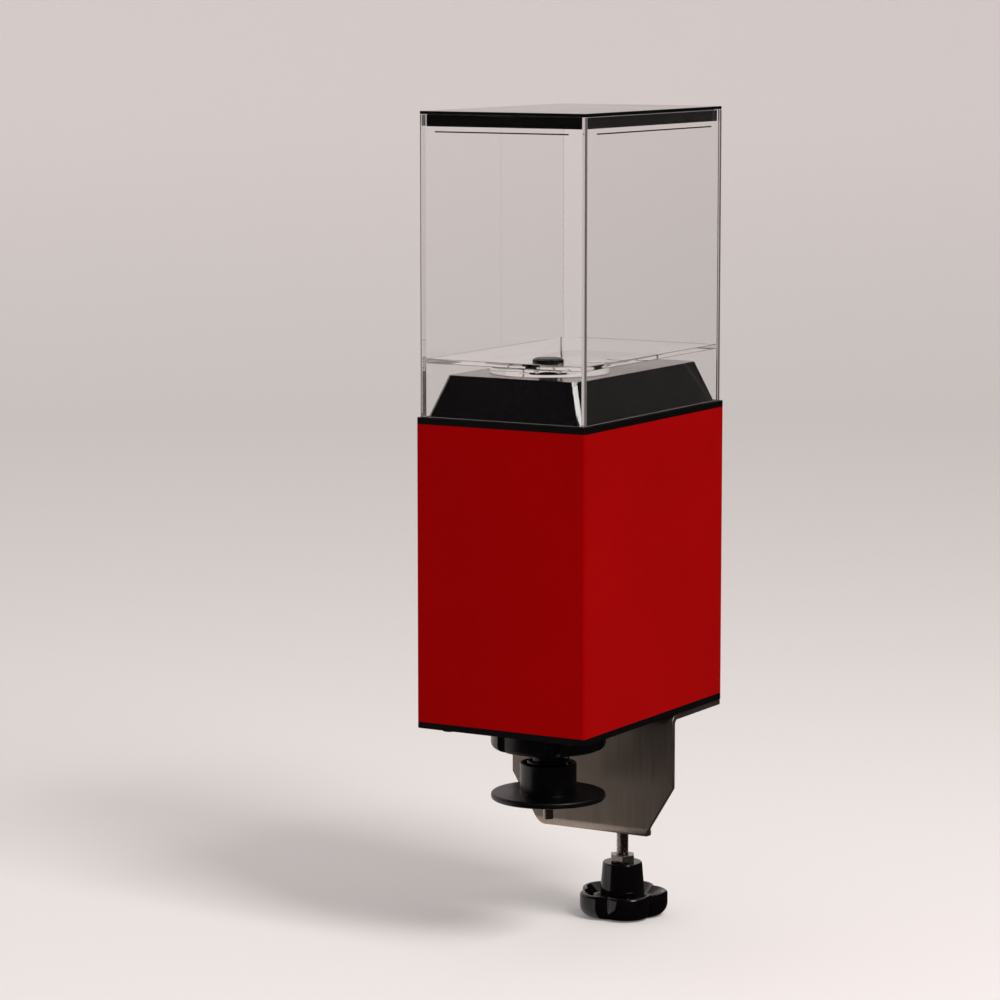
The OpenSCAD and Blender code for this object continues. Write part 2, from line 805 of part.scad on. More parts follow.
// Side view of the bent sheet: seat flange, upright and lower jaw
module bracket_profile() {
    translate([bend_y, 0]) square([rear_y - bend_y, bracket_t]);
    translate([bend_y, bracket_t - bend_out]) intersection() {
        bend_quarter();
        translate([-bend_out, 0]) square(bend_out);
    }
    translate([upright_y, jaw_z + bend_out]) square([bracket_t, jaw_drop + bracket_t - 2 * bend_out]);
    translate([bend_y, jaw_z + bend_out]) intersection() {
        bend_quarter();
        translate([-bend_out, -bend_out]) square(bend_out);
    }
    translate([bend_y, jaw_z]) square([jaw_reach - bend_y, bracket_t]);
}

module bracket_outline() {
    half = bracket_w / 2;
    jaw_half = jaw_w / 2;
    polygon([
        [-half, bracket_t + 1], [half, bracket_t + 1], [half, -taper_start], [jaw_half, jaw_z],
        [jaw_half, jaw_z - 1], [-jaw_half, jaw_z - 1], [-jaw_half, jaw_z], [-half, -taper_start]
    ]);
}

// Corner that is cut off the lower jaw on one side, so that it narrows from its bend to its far end
module jaw_corner(side) {
    end_y = jaw_reach + 1;
    jaw_top_w = jaw_w + (bracket_w - jaw_w) * bracket_t / (jaw_drop - taper_start);
    polygon([
        [side * jaw_top_w / 2, bend_y], [side * jaw_tip_w / 2, jaw_reach], [side * jaw_tip_w / 2, end_y],
        [side * bracket_w / 2, end_y], [side * bracket_w / 2, bend_y]
    ]);
}

module clamp_bracket() {
    color("darkgray") difference() {
        intersection() {
            rotate([90, 0, 90]) linear_extrude(bracket_w, center = true) bracket_profile();
            translate([0, rear_y + 1, 0]) rotate([90, 0, 0]) linear_extrude(body_d) bracket_outline();
        }
        for (y = [bracket_screw_y, post_rear_y]) {
            at_pair(y) rotate([180, 0, 0]) countersink_hole(bracket_t + 1);
        }
        translate([0, 0, jaw_z - 1]) {
            cylinder(d = bush_dia - bracket_t, h = bracket_t + 2);
            for (side = [-1, 1]) {
                linear_extrude(bracket_t + 2) jaw_corner(side);
            }
        }
    }
}

// The front pair ends in the base plate, the rear pair reaches into the posts
module bracket_screws() {
    color("silver") {
        at_pair(bracket_screw_y) bracket_screw(bracket_t + plate_t);
        at_pair(post_rear_y) bracket_screw(bracket_t + plate_t + screw_grip);
    }
}

module bracket_screw(reach) {
    rotate([180, 0, 0]) difference() {
        countersunk(reach);
        translate([0, 0, -screw_dia / 2]) cylinder(d = screw_dia / 2, h = screw_dia, $fn = 6);
    }
}

module threaded_bush() {
    color("silver") translate([0, 0, jaw_z]) difference() {
        union() {
            cylinder(d = bush_dia - bracket_t, h = bracket_t + 1);
            translate([0, 0, bracket_t]) cylinder(d = bush_dia, h = bush_h);
        }
        translate([0, 0, -1]) cylinder(d = rod_dia + 2 * run_clear, h = bracket_t + bush_h + 2);
    }
}

module clamp_screw() {
    low = rim_top_z;
    swivel_top = foot_z - seat_gap;
    color("silver") {
        translate([0, 0, low]) cylinder(d = rod_dia, h = socket_z - seat_gap - low);
        translate([0, 0, socket_z - 1]) cylinder(d = swivel_dia, h = swivel_top - socket_z + 1);
    }
}

module lock_nut() {
    corner_dia = nut_flats / cos(30);
    color("silver") translate([0, 0, hub_z]) difference() {
        cylinder(d = corner_dia, h = nut_h, $fn = 6);
        translate([0, 0, -1]) cylinder(d = rod_dia + 2 * run_clear, h = nut_h + 2);
    }
}

module lobed_outline() {
    circle(knob_dia / 2 - lobe_r / 2);
    for (i = [0 : knob_lobes - 1]) {
        rotate(lobe_turn + i * 360 / knob_lobes) translate([knob_dia / 2 - lobe_r, 0]) circle(lobe_r);
    }
}

// Revolved outline of the knob, just wider than its lobes: tapered hub, dished rim and round lower edge
module knob_profile() {
    r = knob_dia / 2 + run_clear;
    hub_r = hub_dia / 2;
    dish_z = rim_h - dish_h;
    top = rim_h + hub_h;
    square([r - rim_round, dish_z]);
    translate([0, rim_round]) square([r, dish_z - rim_round]);
    translate([r - rim_round, rim_round]) circle(rim_round);
    polygon([[hub_r + dish_h, dish_z - 1], [r, dish_z - 1], [r, rim_h], [r - rim_lip, rim_h]]);
    polygon([[0, 0], [hub_r + hub_flare, 0], [hub_r + hub_flare, rim_h], [hub_r, top], [0, top]]);
}

module clamp_knob() {
    color([0.05, 0.05, 0.05]) translate([0, 0, knob_z]) difference() {
        intersection() {
            rotate_extrude() knob_profile();
            linear_extrude(rim_h + hub_h) lobed_outline();
        }
        translate([0, 0, rim_h]) cylinder(d = rod_dia + 2 * run_clear, h = hub_h + 1);
    }
}

module pad_foot() {
    color("silver") difference() {
        union() {
            translate([0, 0, foot_z]) cylinder(d = pad_dia - 2 * rubber_lip, h = foot_t);
            translate([0, 0, socket_z]) cylinder(d = socket_dia, h = socket_h + 1);
        }
        translate([0, 0, socket_z - 1]) cylinder(d = swivel_dia + 2 * run_clear, h = socket_h + 1);
    }
}

module pad_rubber() {
    color([0.1, 0.1, 0.1]) translate([0, 0, foot_z + foot_t]) cylinder(d = pad_dia, h = rubber_t);
}

// Power entry on the rear wall

module power_inlet() {
    w = inlet_w - 2 * flange_border;
    h = inlet_h - 2 * flange_border;
    color([0.07, 0.07, 0.07]) translate([-power_offset, rear_y, power_z]) rotate([-90, 0, 0]) difference() {
        union() {
            block(inlet_w, inlet_h, flange_t, flange_r);
            translate([-w / 2, -h / 2, -inlet_d]) cube([w, h, inlet_d + eps]);
        }
        translate([0, 0, housing_end - inlet_d])
            block(w - 2 * housing_t, h - 2 * housing_t, inlet_d + flange_t, flange_r);
    }
}

module inlet_pins() {
    spread = inlet_w / 4;
    pin_w = 2;
    pin_h = 4;
    recess = 4;
    rise = 1;
    color("silver") translate([-power_offset, rear_y - inlet_d + housing_end, power_z]) {
        for (x = [-spread, 0, spread]) {
            translate([x - pin_w / 2, 0, x == 0 ? rise : -pin_h])
                cube([pin_w, inlet_d - housing_end - recess, pin_h]);
        }
    }
}

module switch_housing() {
    w = switch_w - 2 * flange_border;
    h = switch_h - 2 * flange_border;
    color([0.07, 0.07, 0.07]) translate([power_offset, rear_y, power_z]) rotate([-90, 0, 0]) difference() {
        union() {
            block(switch_w, switch_h, flange_t, flange_r);
            translate([-w / 2, -h / 2, -switch_d]) cube([w, h, switch_d + eps]);
        }
        translate([housing_t - w / 2, housing_t - h / 2, housing_end - switch_d])
            cube([w - 2 * housing_t, h - 2 * housing_t, switch_d + flange_t]);
        rotate([0, 90, 0]) cylinder(r = rocker_pin_r + run_clear, h = rocker_pin_room, center = true);
    }
}

// Rocker with two slanted faces, on a pin across the switch
module switch_rocker() {
    w = switch_w - 2 * flange_border - 2 * housing_t - 2 * pass_clear;
    h = switch_h - 2 * flange_border - 2 * housing_t - 3 * pass_clear;
    depth = 3;
    draft = 1;
    crest = flange_t + 1.5;
    color([0.1, 0.1, 0.1]) translate([power_offset, rear_y, power_z]) rotate([rocker_swing, 0, 0]) {
        rotate([90, 0, 90]) linear_extrude(w, center = true) polygon([
            [-depth, draft - h / 2], [-depth, h / 2 - draft],
            [crest, h / 2], [flange_t, 0], [crest, -h / 2]
        ]);
        rotate([0, 90, 0]) cylinder(r = rocker_pin_r, h = rocker_pin_room - 2 * seat_gap, center = true);
    }
}

body_shell();
top_plate();
base_plate();
corner_posts();
plate_screws();
front_base_screws();
deck();
tank_front_pane();
tank_rear_pane();
tank_left_pane();
tank_right_pane();
tank_floor();
tank_outlet();
outlet_ring();
strainer_cap();
fill_lines();
lid_plate();
lid_plug();
vessel_stand();
vessel();
vessel_cover();
heating_band();
insulating_jacket();
thermostat();
feed_tube();
outlet_gasket();
valve_body();
star_collar();
return_spring();
push_disc();
spout_tube();
valve_poppet();
poppet_seal();
clamp_bracket();
bracket_screws();
threaded_bush();
clamp_screw();
lock_nut();
clamp_knob();
pad_foot();
pad_rubber();
power_inlet();
inlet_pins();
switch_housing();
switch_rocker();
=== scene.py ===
"""Table-edge drink dispenser: the finish and fine shape of every piece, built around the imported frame."""

import math

import bmesh
import bpy
from bpy.props import FloatProperty, FloatVectorProperty, IntProperty, PointerProperty
from bpy.types import Operator, Panel, PropertyGroup
from mathutils import Matrix, Vector


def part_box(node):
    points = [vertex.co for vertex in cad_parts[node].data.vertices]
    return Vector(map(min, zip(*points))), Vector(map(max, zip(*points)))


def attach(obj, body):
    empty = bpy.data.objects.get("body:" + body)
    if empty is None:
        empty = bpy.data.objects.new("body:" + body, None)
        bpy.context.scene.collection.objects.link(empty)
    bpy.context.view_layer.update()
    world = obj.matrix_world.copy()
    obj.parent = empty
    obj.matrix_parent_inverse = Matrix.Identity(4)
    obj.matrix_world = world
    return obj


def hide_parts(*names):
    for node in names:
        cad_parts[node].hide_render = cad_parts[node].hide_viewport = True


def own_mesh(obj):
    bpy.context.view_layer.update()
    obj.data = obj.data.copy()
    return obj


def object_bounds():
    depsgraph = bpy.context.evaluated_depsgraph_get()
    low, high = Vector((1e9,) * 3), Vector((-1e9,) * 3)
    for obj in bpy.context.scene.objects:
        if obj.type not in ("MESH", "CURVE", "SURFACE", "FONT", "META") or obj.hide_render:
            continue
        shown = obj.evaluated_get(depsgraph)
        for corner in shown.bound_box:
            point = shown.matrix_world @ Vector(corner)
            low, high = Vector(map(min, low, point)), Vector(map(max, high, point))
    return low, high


bl_info = {
    "name": "Table-edge drink dispenser",
    "version": (1, 0, 0),
    "blender": (4, 5, 0),
    "location": "3D View > Sidebar > Dispenser",
    "description": "Dresses the packed drink dispenser and sets up its studio",
    "category": "Object",
}

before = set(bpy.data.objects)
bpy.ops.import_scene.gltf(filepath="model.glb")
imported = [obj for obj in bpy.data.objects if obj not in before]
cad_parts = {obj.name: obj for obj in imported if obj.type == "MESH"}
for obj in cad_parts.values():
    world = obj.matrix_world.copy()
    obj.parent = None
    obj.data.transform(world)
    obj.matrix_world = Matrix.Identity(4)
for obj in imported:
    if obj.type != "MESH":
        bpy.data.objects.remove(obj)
CAD_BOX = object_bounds()

MM = 0.001
WELD = 0.002 * MM
FLAT_ANGLE = math.radians(0.5)
RIDGE_ANGLE = math.radians(30)
FACING, SLANTED = 0.9, 0.3  # least part of a face's normal along an axis
PATTERN_RANGE = (0.3, 0.7)  # where most of a noise pattern lies
ACRYLIC_IOR = 1.49
THREAD_FORM = ((0.0, 0), (0.12, 0), (0.44, 1), (0.68, 1), (1.0, 0))  # shares of the pitch and the depth
GRIP_RADII = (13 * MM, 9 * MM, 5 * MM)


def length(name, description, millimetres):
    """A length that a user may change, kept in metres."""
    return FloatProperty(
        name=name, description=description, default=millimetres * MM, min=0.0, unit="LENGTH", precision=5
    )


def colour(name, description, value):
    """A linear colour that a user may change."""
    return FloatVectorProperty(
        name=name, description=description, default=value, size=3, min=0.0, max=1.0, subtype="COLOR"
    )


def turn(name, description, degrees):
    """An angle that a user may change, kept in radians."""
    return FloatProperty(name=name, description=description, default=math.radians(degrees), unit="ROTATION")


def level(name, description, value):
    """A share or a strength that a user may change."""
    return FloatProperty(name=name, description=description, default=value, min=0.0)


def count(name, description, value, least):
    """A number of like things that a user may change."""
    return IntProperty(name=name, description=description, default=value, min=least)


def spot(name, description, value):
    """A place that a user may change."""
    return FloatVectorProperty(name=name, description=description, default=value, subtype="TRANSLATION")


class DispenserSizes(PropertyGroup):
    """Fine sizes that the solids leave out"""

    sheet_break: length("Sheet edge", "Broken edge of the folded sleeve and the plates", 0.3)
    moulded_break: length("Moulded edge", "Rounded edge of small moulded pieces", 0.4)
    deck_ridge: length("Deck ridge", "Flattened ridges of the tapered deck", 2.2)
    ridge_least: length("Ridge length", "Least length of an edge of the deck that counts as a ridge", 20)
    lid_break: length("Lid edge", "Polished edge of the lid's sheets", 0.35)
    pane_chamfer: length("Pane edge", "Polished edge of the clear sheets", 0.3)
    pane_end_area: FloatProperty(
        name="Pane end", description="Most area that a pane's end has", default=0.001, min=0.0, unit="AREA"
    )
    glue_gap: length("Joint gap", "Gap between clear sheets that are joined", 0.03)
    bracket_break: length("Bracket edge", "Broken edge of the bent bracket", 0.5)
    hardware_break: length("Hardware edge", "Broken edge of nuts, bushes and screw heads", 0.35)

    turned_fit: length("Fit", "Gap between turned pieces that sit in each other", 0.08)
    stem_dia: length("Stem", "Diameter of the valve body inside the collar", 30)
    collar_dia: length("Collar", "Diameter of the star collar", 73)
    collar_round: length("Collar round", "Radius of the collar's lower edge", 4)
    groove_w: length("Groove", "Width of a finger groove", 8)
    groove_depth: length("Groove depth", "Depth of a finger groove", 4)
    grooves: count("Grooves", "Number of finger grooves round the collar", 6, 3)
    groove_turn: turn("Groove turn", "Turn of the grooves from the X axis", 4.5)

    cup_dia: length("Cup", "Outside diameter of the push cup", 36)
    cup_wall: length("Cup wall", "Wall of the push cup", 2.5)
    disc_t: length("Disc", "Thickness of the push disc", 4)
    disc_round: length("Disc round", "Radius of the push disc's rim", 1.5)
    spout_wall: length("Spout wall", "Wall of the spout tube", 1.1)
    spout_top: length("Spout top", "Solid length at the top of the spout tube", 8)
    spout_break: length("Spout edge", "Rounded edge of the spout's tip", 0.3)
    coil_wire: length("Wire", "Wire diameter of the return spring", 1.6)
    coil_rise: length("End turn", "Rise of a closed end turn of the return spring", 2.1)
    coils: count("Coils", "Number of turns of the return spring", 7, 3)
    coil_gap: length("Coil gap", "Gap above the return spring", 0.2)

    rod_dia: length("Rod", "Outside diameter of the clamp screw's thread", 8)
    thread_pitch: length("Pitch", "Pitch of the clamp screw's thread", 1.25)
    thread_depth: length("Thread depth", "Depth of the clamp screw's thread", 0.65)
    thread_gap: length("Thread gap", "Gap between the thread and the pad's foot", 0.2)
    swivel_dia: length("Swivel", "Diameter of the clamp screw's plain tip", 6)
    swivel_break: length("Swivel edge", "Rounded edge of the plain tip", 0.4)
    knob_dia: length("Knob", "Diameter of the knob over its lobes", 60)
    knob_valley: length("Knob valley", "Diameter of the knob between its lobes", 48.6)
    lobe_r: length("Lobe", "Radius of a lobe's tip", 15.5)
    lobes: count("Lobes", "Number of lobes on the knob", 5, 3)
    lobe_turn: turn("Lobe turn", "Turn of the lobes from the X axis", 23)
    hub_dia: length("Hub", "Diameter of the knob's hub at its top", 26)
    hub_flare: length("Hub flare", "Widening of the hub towards its foot", 2)
    rim_h: length("Rim", "Height of the knob's lobed rim", 16)
    rim_lip: length("Lip", "Width of the lip on the knob's rim", 3)
    dish_h: length("Dish", "Depth of the dish round the hub", 5)
    rim_round: length("Rim round", "Radius of the rim's lower edge", 8)
    rim_edge: length("Rim edge", "Radius of the rim's upper edge", 1.8)
    lip_edge: length("Lip edge", "Radius of the lip's inner edge", 0.8)
    dish_round: length("Dish round", "Radius at the foot of the dish's wall", 2)
    hub_fillet: length("Hub fillet", "Radius at the foot of the hub", 1.6)
    hub_edge: length("Hub edge", "Radius of the hub's upper edge", 0.9)
    grip_w: length("Grip groove", "Width of a groove in the pad's face", 1.2)
    grip_depth: length("Grip depth", "Depth of a groove in the pad's face", 0.7)
    pad_break: length("Pad edge", "Rounded edge of the pad's face", 0.6)


class DispenserColours(PropertyGroup):
    """Colours of the finishes"""

    red: colour("Red coat", "Powder coat of the sleeve", (0.30, 0.0004, 0.0008))
    black_paint: colour("Black coat", "Powder coat of the plates", (0.003, 0.0025, 0.0025))
    black_sheet: colour("Black sheet", "Polished sheet of the lid", (0.003, 0.0025, 0.0025))
    deck: colour("Deck", "Folded glossy sheet of the deck", (0.0045, 0.0036, 0.0042))
    black_plastic: colour("Black plastic", "Turned plastic of the tap", (0.0025, 0.002, 0.002))
    knob: colour("Knob", "Moulded plastic of the knob", (0.002, 0.0016, 0.0018))
    clear: colour("Clear sheet", "Clear sheet of the tank", (0.998, 0.996, 0.994))
    clear_gloss: colour("Clear gloss", "Gloss of the clear sheet seen square on", (0.2, 0.2, 0.2))
    # the same dark grey on a pane's downward faces is painted shade under the pane
    sawn: colour("Sheet edge", "Sawn edges of the clear sheet", (0.13, 0.115, 0.11))
    line: colour("Line", "Printed fill lines", (0.012, 0.011, 0.010))
    stainless: colour("Stainless", "Brushed steel of the bracket", (0.46, 0.385, 0.33))
    spout: colour("Spout", "Drawn steel of the spout and the vessel", (0.36, 0.31, 0.27))
    zinc: colour("Zinc", "Plating of the hardware", (0.42, 0.38, 0.34))
    # painted shade: the spring's wire is kept near black to stand for the shade inside the push cup
    wire: colour("Wire", "Oiled wire of the return spring", (0.12, 0.11, 0.10))
    brass: colour("Brass", "Turned brass of the poppet", (0.62, 0.42, 0.15))
    band: colour("Band", "Heat-tinted sheet of the heating band", (0.45, 0.36, 0.25))
    felt: colour("Felt", "Felted fibre of the jacket", (0.52, 0.49, 0.44))
    pale: colour("Pale plastic", "Moulding of the thermostat", (0.68, 0.65, 0.58))
    silicone: colour("Silicone", "Milky tube between deck and vessel", (0.66, 0.65, 0.60))
    rubber: colour("Rubber", "Seals and the clamp's pad", (0.016, 0.015, 0.015))


class DispenserStudio(PropertyGroup):
    """Camera, light and floor"""

    camera_at: spot("Camera", "Place of the camera", (1.1576, -2.1457, 0.4628))
    camera_down: turn("Tilt", "Tilt of the camera below the level", 7.695)
    camera_round: turn("Turn", "Turn of the camera about the upright axis", 30.246)
    camera_lens: FloatProperty(
        name="Lens", description="Focal length of the camera in millimetres", default=135.82, min=1.0
    )
    floor_gap: length("Floor gap", "Drop from the knob to the floor", 0.5)
    sweep_r: length("Sweep", "Radius of the round backdrop", 4200)
    sweep_h: length("Sweep height", "Height of the round backdrop", 2400)
    sweep_cove: length("Cove", "Radius between the floor and the backdrop", 1200)
    floor: colour("Floor", "Colour of the floor and the backdrop", (0.862, 0.838, 0.826))
    # painted shade: the upper wall has a darker, warmer colour than the floor so that the backdrop darkens towards
    # its top
    wall: colour("Wall", "Colour of the backdrop's upper wall", (0.825, 0.767, 0.757))
    rise_h: length("Rise", "Height over which the floor's colour turns into the wall's", 450)
    drape: colour("Drape", "Dark cloth on the camera's side", (0.02, 0.018, 0.017))
    drape_r: length("Drape reach", "Reach of the dark cloth from the object", 2950)
    near_r: length("Near cloth", "Radius of the floor that the cloth leaves bare on the left", 170)
    drape_thin: level("Drape share", "Share of the cloth that the edges of a clear sheet don't show", 0.3)
    drape_deep: level("Drape depth", "Share of the cloth that a second clear sheet's edges don't show", 0.88)
    drape_h: length("Drape height", "Height of the dark cloth", 2400)
    drape_near: turn("Drape near", "Reach of the cloth to the camera's left, close to the object", 40)
    drape_left: turn("Drape left", "Reach of the cloth to the camera's left, on the floor", 66)
    drape_side: turn("Drape side", "Reach of the cloth to the camera's left, above the floor", 95)
    drape_right: turn("Drape right", "Reach of the cloth to the camera's right", 165)
    floor_glow: level("Floor glow", "Extra paleness of the floor", 0.10)
    wall_glow: level("Wall glow", "Extra paleness of the backdrop's upper wall", 0.18)
    sky: colour("Sky", "Colour of the soft light from all round", (1.0, 0.965, 0.95))
    sky_level: level("Sky level", "Strength of the soft light", 0.52)
    key_at: spot("Key place", "Place of the large lamp", (1.75, -0.75, 1.85))
    key_power: FloatProperty(
        name="Key", description="Power of the large lamp on the right", default=14.8, min=0.0, unit="POWER"
    )
    key_size: length("Key size", "Side of the large lamp", 900)
    key_spread: turn("Key spread", "Full angle of the lamp's beam", 105)


class Finish:
    """A procedural material: one shader and the patterns that drive it."""

    def __init__(self, name):
        self.material = bpy.data.materials.new(name)
        self.material.use_nodes = True
        self.nodes = self.material.node_tree.nodes
        self.shader = self.nodes["Principled BSDF"]

    def set(self, sockets):
        """Give the shader values that are the same all over."""
        for socket, value in sockets.items():
            self.shader.inputs[socket].default_value = value

    def node(self, kind, inputs=None, **settings):
        """Add a node with its settings and the values of its free inputs."""
        made = self.nodes.new("ShaderNode" + kind)
        for name, value in settings.items():
            setattr(made, name, value)
        for name, value in (inputs or {}).items():
            made.inputs[name].default_value = value
        return made

    def link(self, source, target):
        """Feed one node's output into another's input."""
        self.material.node_tree.links.new(source, target)

    def place(self, stretch=(1, 1, 1), shift=(0, 0, 0)):
        """The piece's own coordinates, stretched and shifted."""
        where = self.node("TexCoord")
        fit = self.node("Mapping", {"Scale": stretch, "Location": shift})
        self.link(where.outputs["Object"], fit.inputs["Vector"])
        return fit.outputs["Vector"]

    def noise(self, per_metre, detail=3.0, stretch=(1, 1, 1)):
        """Cloudy pattern with that many cells to the metre."""
        made = self.node("TexNoise", {"Scale": per_metre, "Detail": detail})
        self.link(self.place(stretch), made.inputs["Vector"])
        return made.outputs["Fac"]

    def rings(self, pitch, at):
        """Turning marks round an upright axis."""
        wave_period = math.tau / 20
        made = self.node(
            "TexWave",
            {"Scale": wave_period / pitch, "Distortion": 0.6, "Detail": 1.0},
            wave_type="RINGS",
            rings_direction="Z",
        )
        self.link(self.place(shift=(-at.x, -at.y, 0)), made.inputs["Vector"])
        return made.outputs["Fac"]

    def remap(self, value, old, new, **settings):
        """A value carried from one range to another."""
        ends = {"From Min": old[0], "From Max": old[1], "To Min": new[0], "To Max": new[1]}
        made = self.node("MapRange", ends, **settings)
        self.link(value, made.inputs["Value"])
        return made.outputs["Result"]

    def spread(self, pattern, low, high):
        """The pattern's middle range mapped to two values."""
        return self.remap(pattern, PATTERN_RANGE, (low, high))

    def blend(self, pattern, first, second):
        """A colour between two by the pattern."""
        made = self.node("Mix", data_type="RGBA")
        made.inputs[6].default_value = (*first, 1.0)
        made.inputs[7].default_value = (*second, 1.0)
        self.link(self.spread(pattern, 0.0, 1.0), made.inputs[0])
        return made.outputs[2]

    def drive(self, socket, source):
        """Feed the shader."""
        self.link(source, self.shader.inputs[socket])

    def mottle(self, base, pattern, share):
        """Colour that strays from the base by a share on both sides."""
        self.drive("Base Color", self.blend(pattern, shade(base, 1 - share), shade(base, 1 + share)))

    def polish(self, pattern, low, high):
        """Roughness between two values by the pattern."""
        self.drive("Roughness", self.spread(pattern, low, high))

    def relief(self, pattern, depth, strength=1.0):
        """Bumps of that depth from the pattern."""
        made = self.node("Bump", {"Strength": strength, "Distance": depth})
        self.link(pattern, made.inputs["Height"])
        self.drive("Normal", made.outputs["Normal"])

    def reckon(self, operation, first, second):
        """Two values put together, either of them an output or a plain number."""
        made = self.node("Math", operation=operation)
        for socket, value in zip(made.inputs, (first, second)):
            if isinstance(value, float):
                socket.default_value = value
            else:
                self.link(value, socket)
        return made.outputs["Value"]

    def choose(self, share, other):
        """Show another shader by a share."""
        made = self.node("MixShader")
        self.link(share, made.inputs[0])
        self.link(self.shader.outputs["BSDF"], made.inputs[1])
        self.link(other.outputs["BSDF"], made.inputs[2])
        self.link(made.outputs["Shader"], self.nodes["Material Output"].inputs["Surface"])


def shade(base, factor):
    """A colour made darker or paler."""
    return tuple(min(channel * factor, 1.0) for channel in base)


def red_powder_coat(finish, colours):
    finish.set({"Specular IOR Level": 0.01})
    peel = finish.noise(520, detail=2.0)
    finish.mottle(colours.red, finish.noise(9, detail=4.0), 0.05)
    finish.polish(peel, 0.40, 0.52)
    finish.relief(peel, 0.03 * MM, 0.35)


def black_powder_coat(finish, colours):
    finish.set({"Specular IOR Level": 0.12})
    peel = finish.noise(700, detail=2.0)
    finish.mottle(colours.black_paint, finish.noise(30), 0.2)
    finish.polish(peel, 0.42, 0.56)
    finish.relief(peel, 0.03 * MM, 0.4)


def polished_black_sheet(finish, colours):
    finish.set({"Specular IOR Level": 0.5})
    haze = finish.noise(22, detail=6.0)
    finish.mottle(colours.black_sheet, haze, 0.25)
    finish.polish(haze, 0.05, 0.10)
    finish.relief(finish.noise(12), 0.04 * MM, 0.1)


def glossy_deck_sheet(finish, colours):
    finish.set({"Specular IOR Level": 0.45})
    haze = finish.noise(14, detail=2.0)
    finish.mottle(colours.deck, haze, 0.12)
    finish.polish(haze, 0.10, 0.13)
    finish.relief(finish.noise(60, detail=2.0), 0.02 * MM, 0.1)


def turned_black_plastic(finish, colours):
    finish.set({"Specular IOR Level": 0.4})
    marks = finish.rings(0.45 * MM, middle("push_disc"))
    finish.mottle(colours.black_plastic, finish.noise(120, detail=5.0), 0.3)
    finish.polish(marks, 0.30, 0.44)
    finish.relief(marks, 0.012 * MM, 0.5)


def moulded_black_plastic(finish, colours):
    finish.set({"Specular IOR Level": 0.4})
    grain = finish.noise(2200, detail=2.0)
    finish.mottle(colours.black_plastic, finish.noise(150), 0.3)
    finish.polish(grain, 0.40, 0.55)
    finish.relief(grain, 0.02 * MM, 0.5)


def glossy_knob_plastic(finish, colours):
    finish.set({"Specular IOR Level": 0.45})
    haze = finish.noise(160, detail=5.0)
    finish.mottle(colours.knob, haze, 0.3)
    finish.polish(haze, 0.07, 0.13)
    finish.relief(finish.noise(300), 0.02 * MM, 0.1)


def clear_sheet(finish, colours):
    clear_acrylic(finish, colours)


def clear_block(finish, colours):
    clear_acrylic(finish, colours)


def clear_acrylic(finish, colours):
    """Clear acrylic that bends what is seen through it, and lets light and reflections straight through."""
    finish.set(
        {
            "Base Color": (*colours.clear, 1.0),
            "Transmission Weight": 1.0,
            "IOR": ACRYLIC_IOR,
            "Specular Tint": (*colours.clear_gloss, 1.0),
        }
    )
    finish.polish(finish.noise(18, detail=6.0), 0.0, 0.025)
    rays = finish.node("LightPath").outputs
    bounces = finish.reckon("ADD", rays["Glossy Depth"], rays["Diffuse Depth"])
    share = finish.reckon("MAXIMUM", rays["Is Shadow Ray"], bounces)
    finish.choose(share, finish.node("BsdfTransparent", {"Color": (*colours.clear, 1.0)}))


def sawn_edge_and_shade(finish, colours):
    finish.set({"Transmission Weight": 0.35, "IOR": ACRYLIC_IOR})
    strokes = finish.noise(900, detail=4.0)
    finish.mottle(colours.sawn, strokes, 0.15)
    finish.polish(strokes, 0.40, 0.55)


def printed_line(finish, colours):
    finish.set({"Specular IOR Level": 0.3})
    speckle = finish.noise(1500)
    finish.mottle(colours.line, speckle, 0.3)
    finish.polish(speckle, 0.45, 0.6)


def brushed_stainless(finish, colours):
    finish.set({"Metallic": 1.0})
    strokes = finish.noise(1, detail=6.0, stretch=(1400, 22, 22))
    finish.mottle(colours.stainless, strokes, 0.12)
    finish.polish(strokes, 0.36, 0.50)
    finish.relief(strokes, 0.02 * MM, 0.08)


def drawn_stainless(finish, colours):
    finish.set({"Metallic": 1.0})
    strokes = finish.noise(1, detail=5.0, stretch=(60, 60, 1500))
    finish.mottle(colours.spout, strokes, 0.15)
    finish.polish(strokes, 0.3, 0.45)


def zinc_plate(finish, colours):
    finish.set({"Metallic": 1.0})
    bloom = finish.noise(260, detail=5.0)
    finish.mottle(colours.zinc, bloom, 0.18)
    finish.polish(bloom, 0.22, 0.38)


# Metal wire, darkened well below bare steel as painted shade for the inside of the push cup.
def wire_painted_shade(finish, colours):
    finish.set({"Metallic": 1.0})
    wire_tone = finish.noise(500, detail=4.0)
    finish.mottle(colours.wire, wire_tone, 0.25)
    finish.polish(wire_tone, 0.26, 0.4)


def turned_brass(finish, colours):
    finish.set({"Metallic": 1.0})
    marks = finish.rings(0.3 * MM, middle("valve_poppet"))
    finish.mottle(colours.brass, finish.noise(200), 0.15)
    finish.polish(marks, 0.2, 0.34)


def heat_tinted_band(finish, colours):
    finish.set({"Metallic": 1.0})
    bloom = finish.noise(40, detail=5.0)
    finish.mottle(colours.band, bloom, 0.3)
    finish.polish(bloom, 0.3, 0.5)


def felted_fibre(finish, colours):
    finish.set({"Specular IOR Level": 0.1, "Sheen Weight": 0.3})
    fibres = finish.noise(900, detail=6.0, stretch=(1, 1, 0.3))
    finish.mottle(colours.felt, fibres, 0.2)
    finish.polish(fibres, 0.85, 0.98)
    finish.relief(fibres, 0.4 * MM, 0.7)


def pale_moulding(finish, colours):
    finish.set({"Specular IOR Level": 0.4})
    grain = finish.noise(1200, detail=2.0)
    finish.mottle(colours.pale, finish.noise(90), 0.06)
    finish.polish(grain, 0.38, 0.5)


def milky_silicone(finish, colours):
    finish.set({"Specular IOR Level": 0.4, "Transmission Weight": 0.25})
    cloud = finish.noise(120, detail=4.0)
    finish.mottle(colours.silicone, cloud, 0.06)
    finish.polish(cloud, 0.34, 0.48)


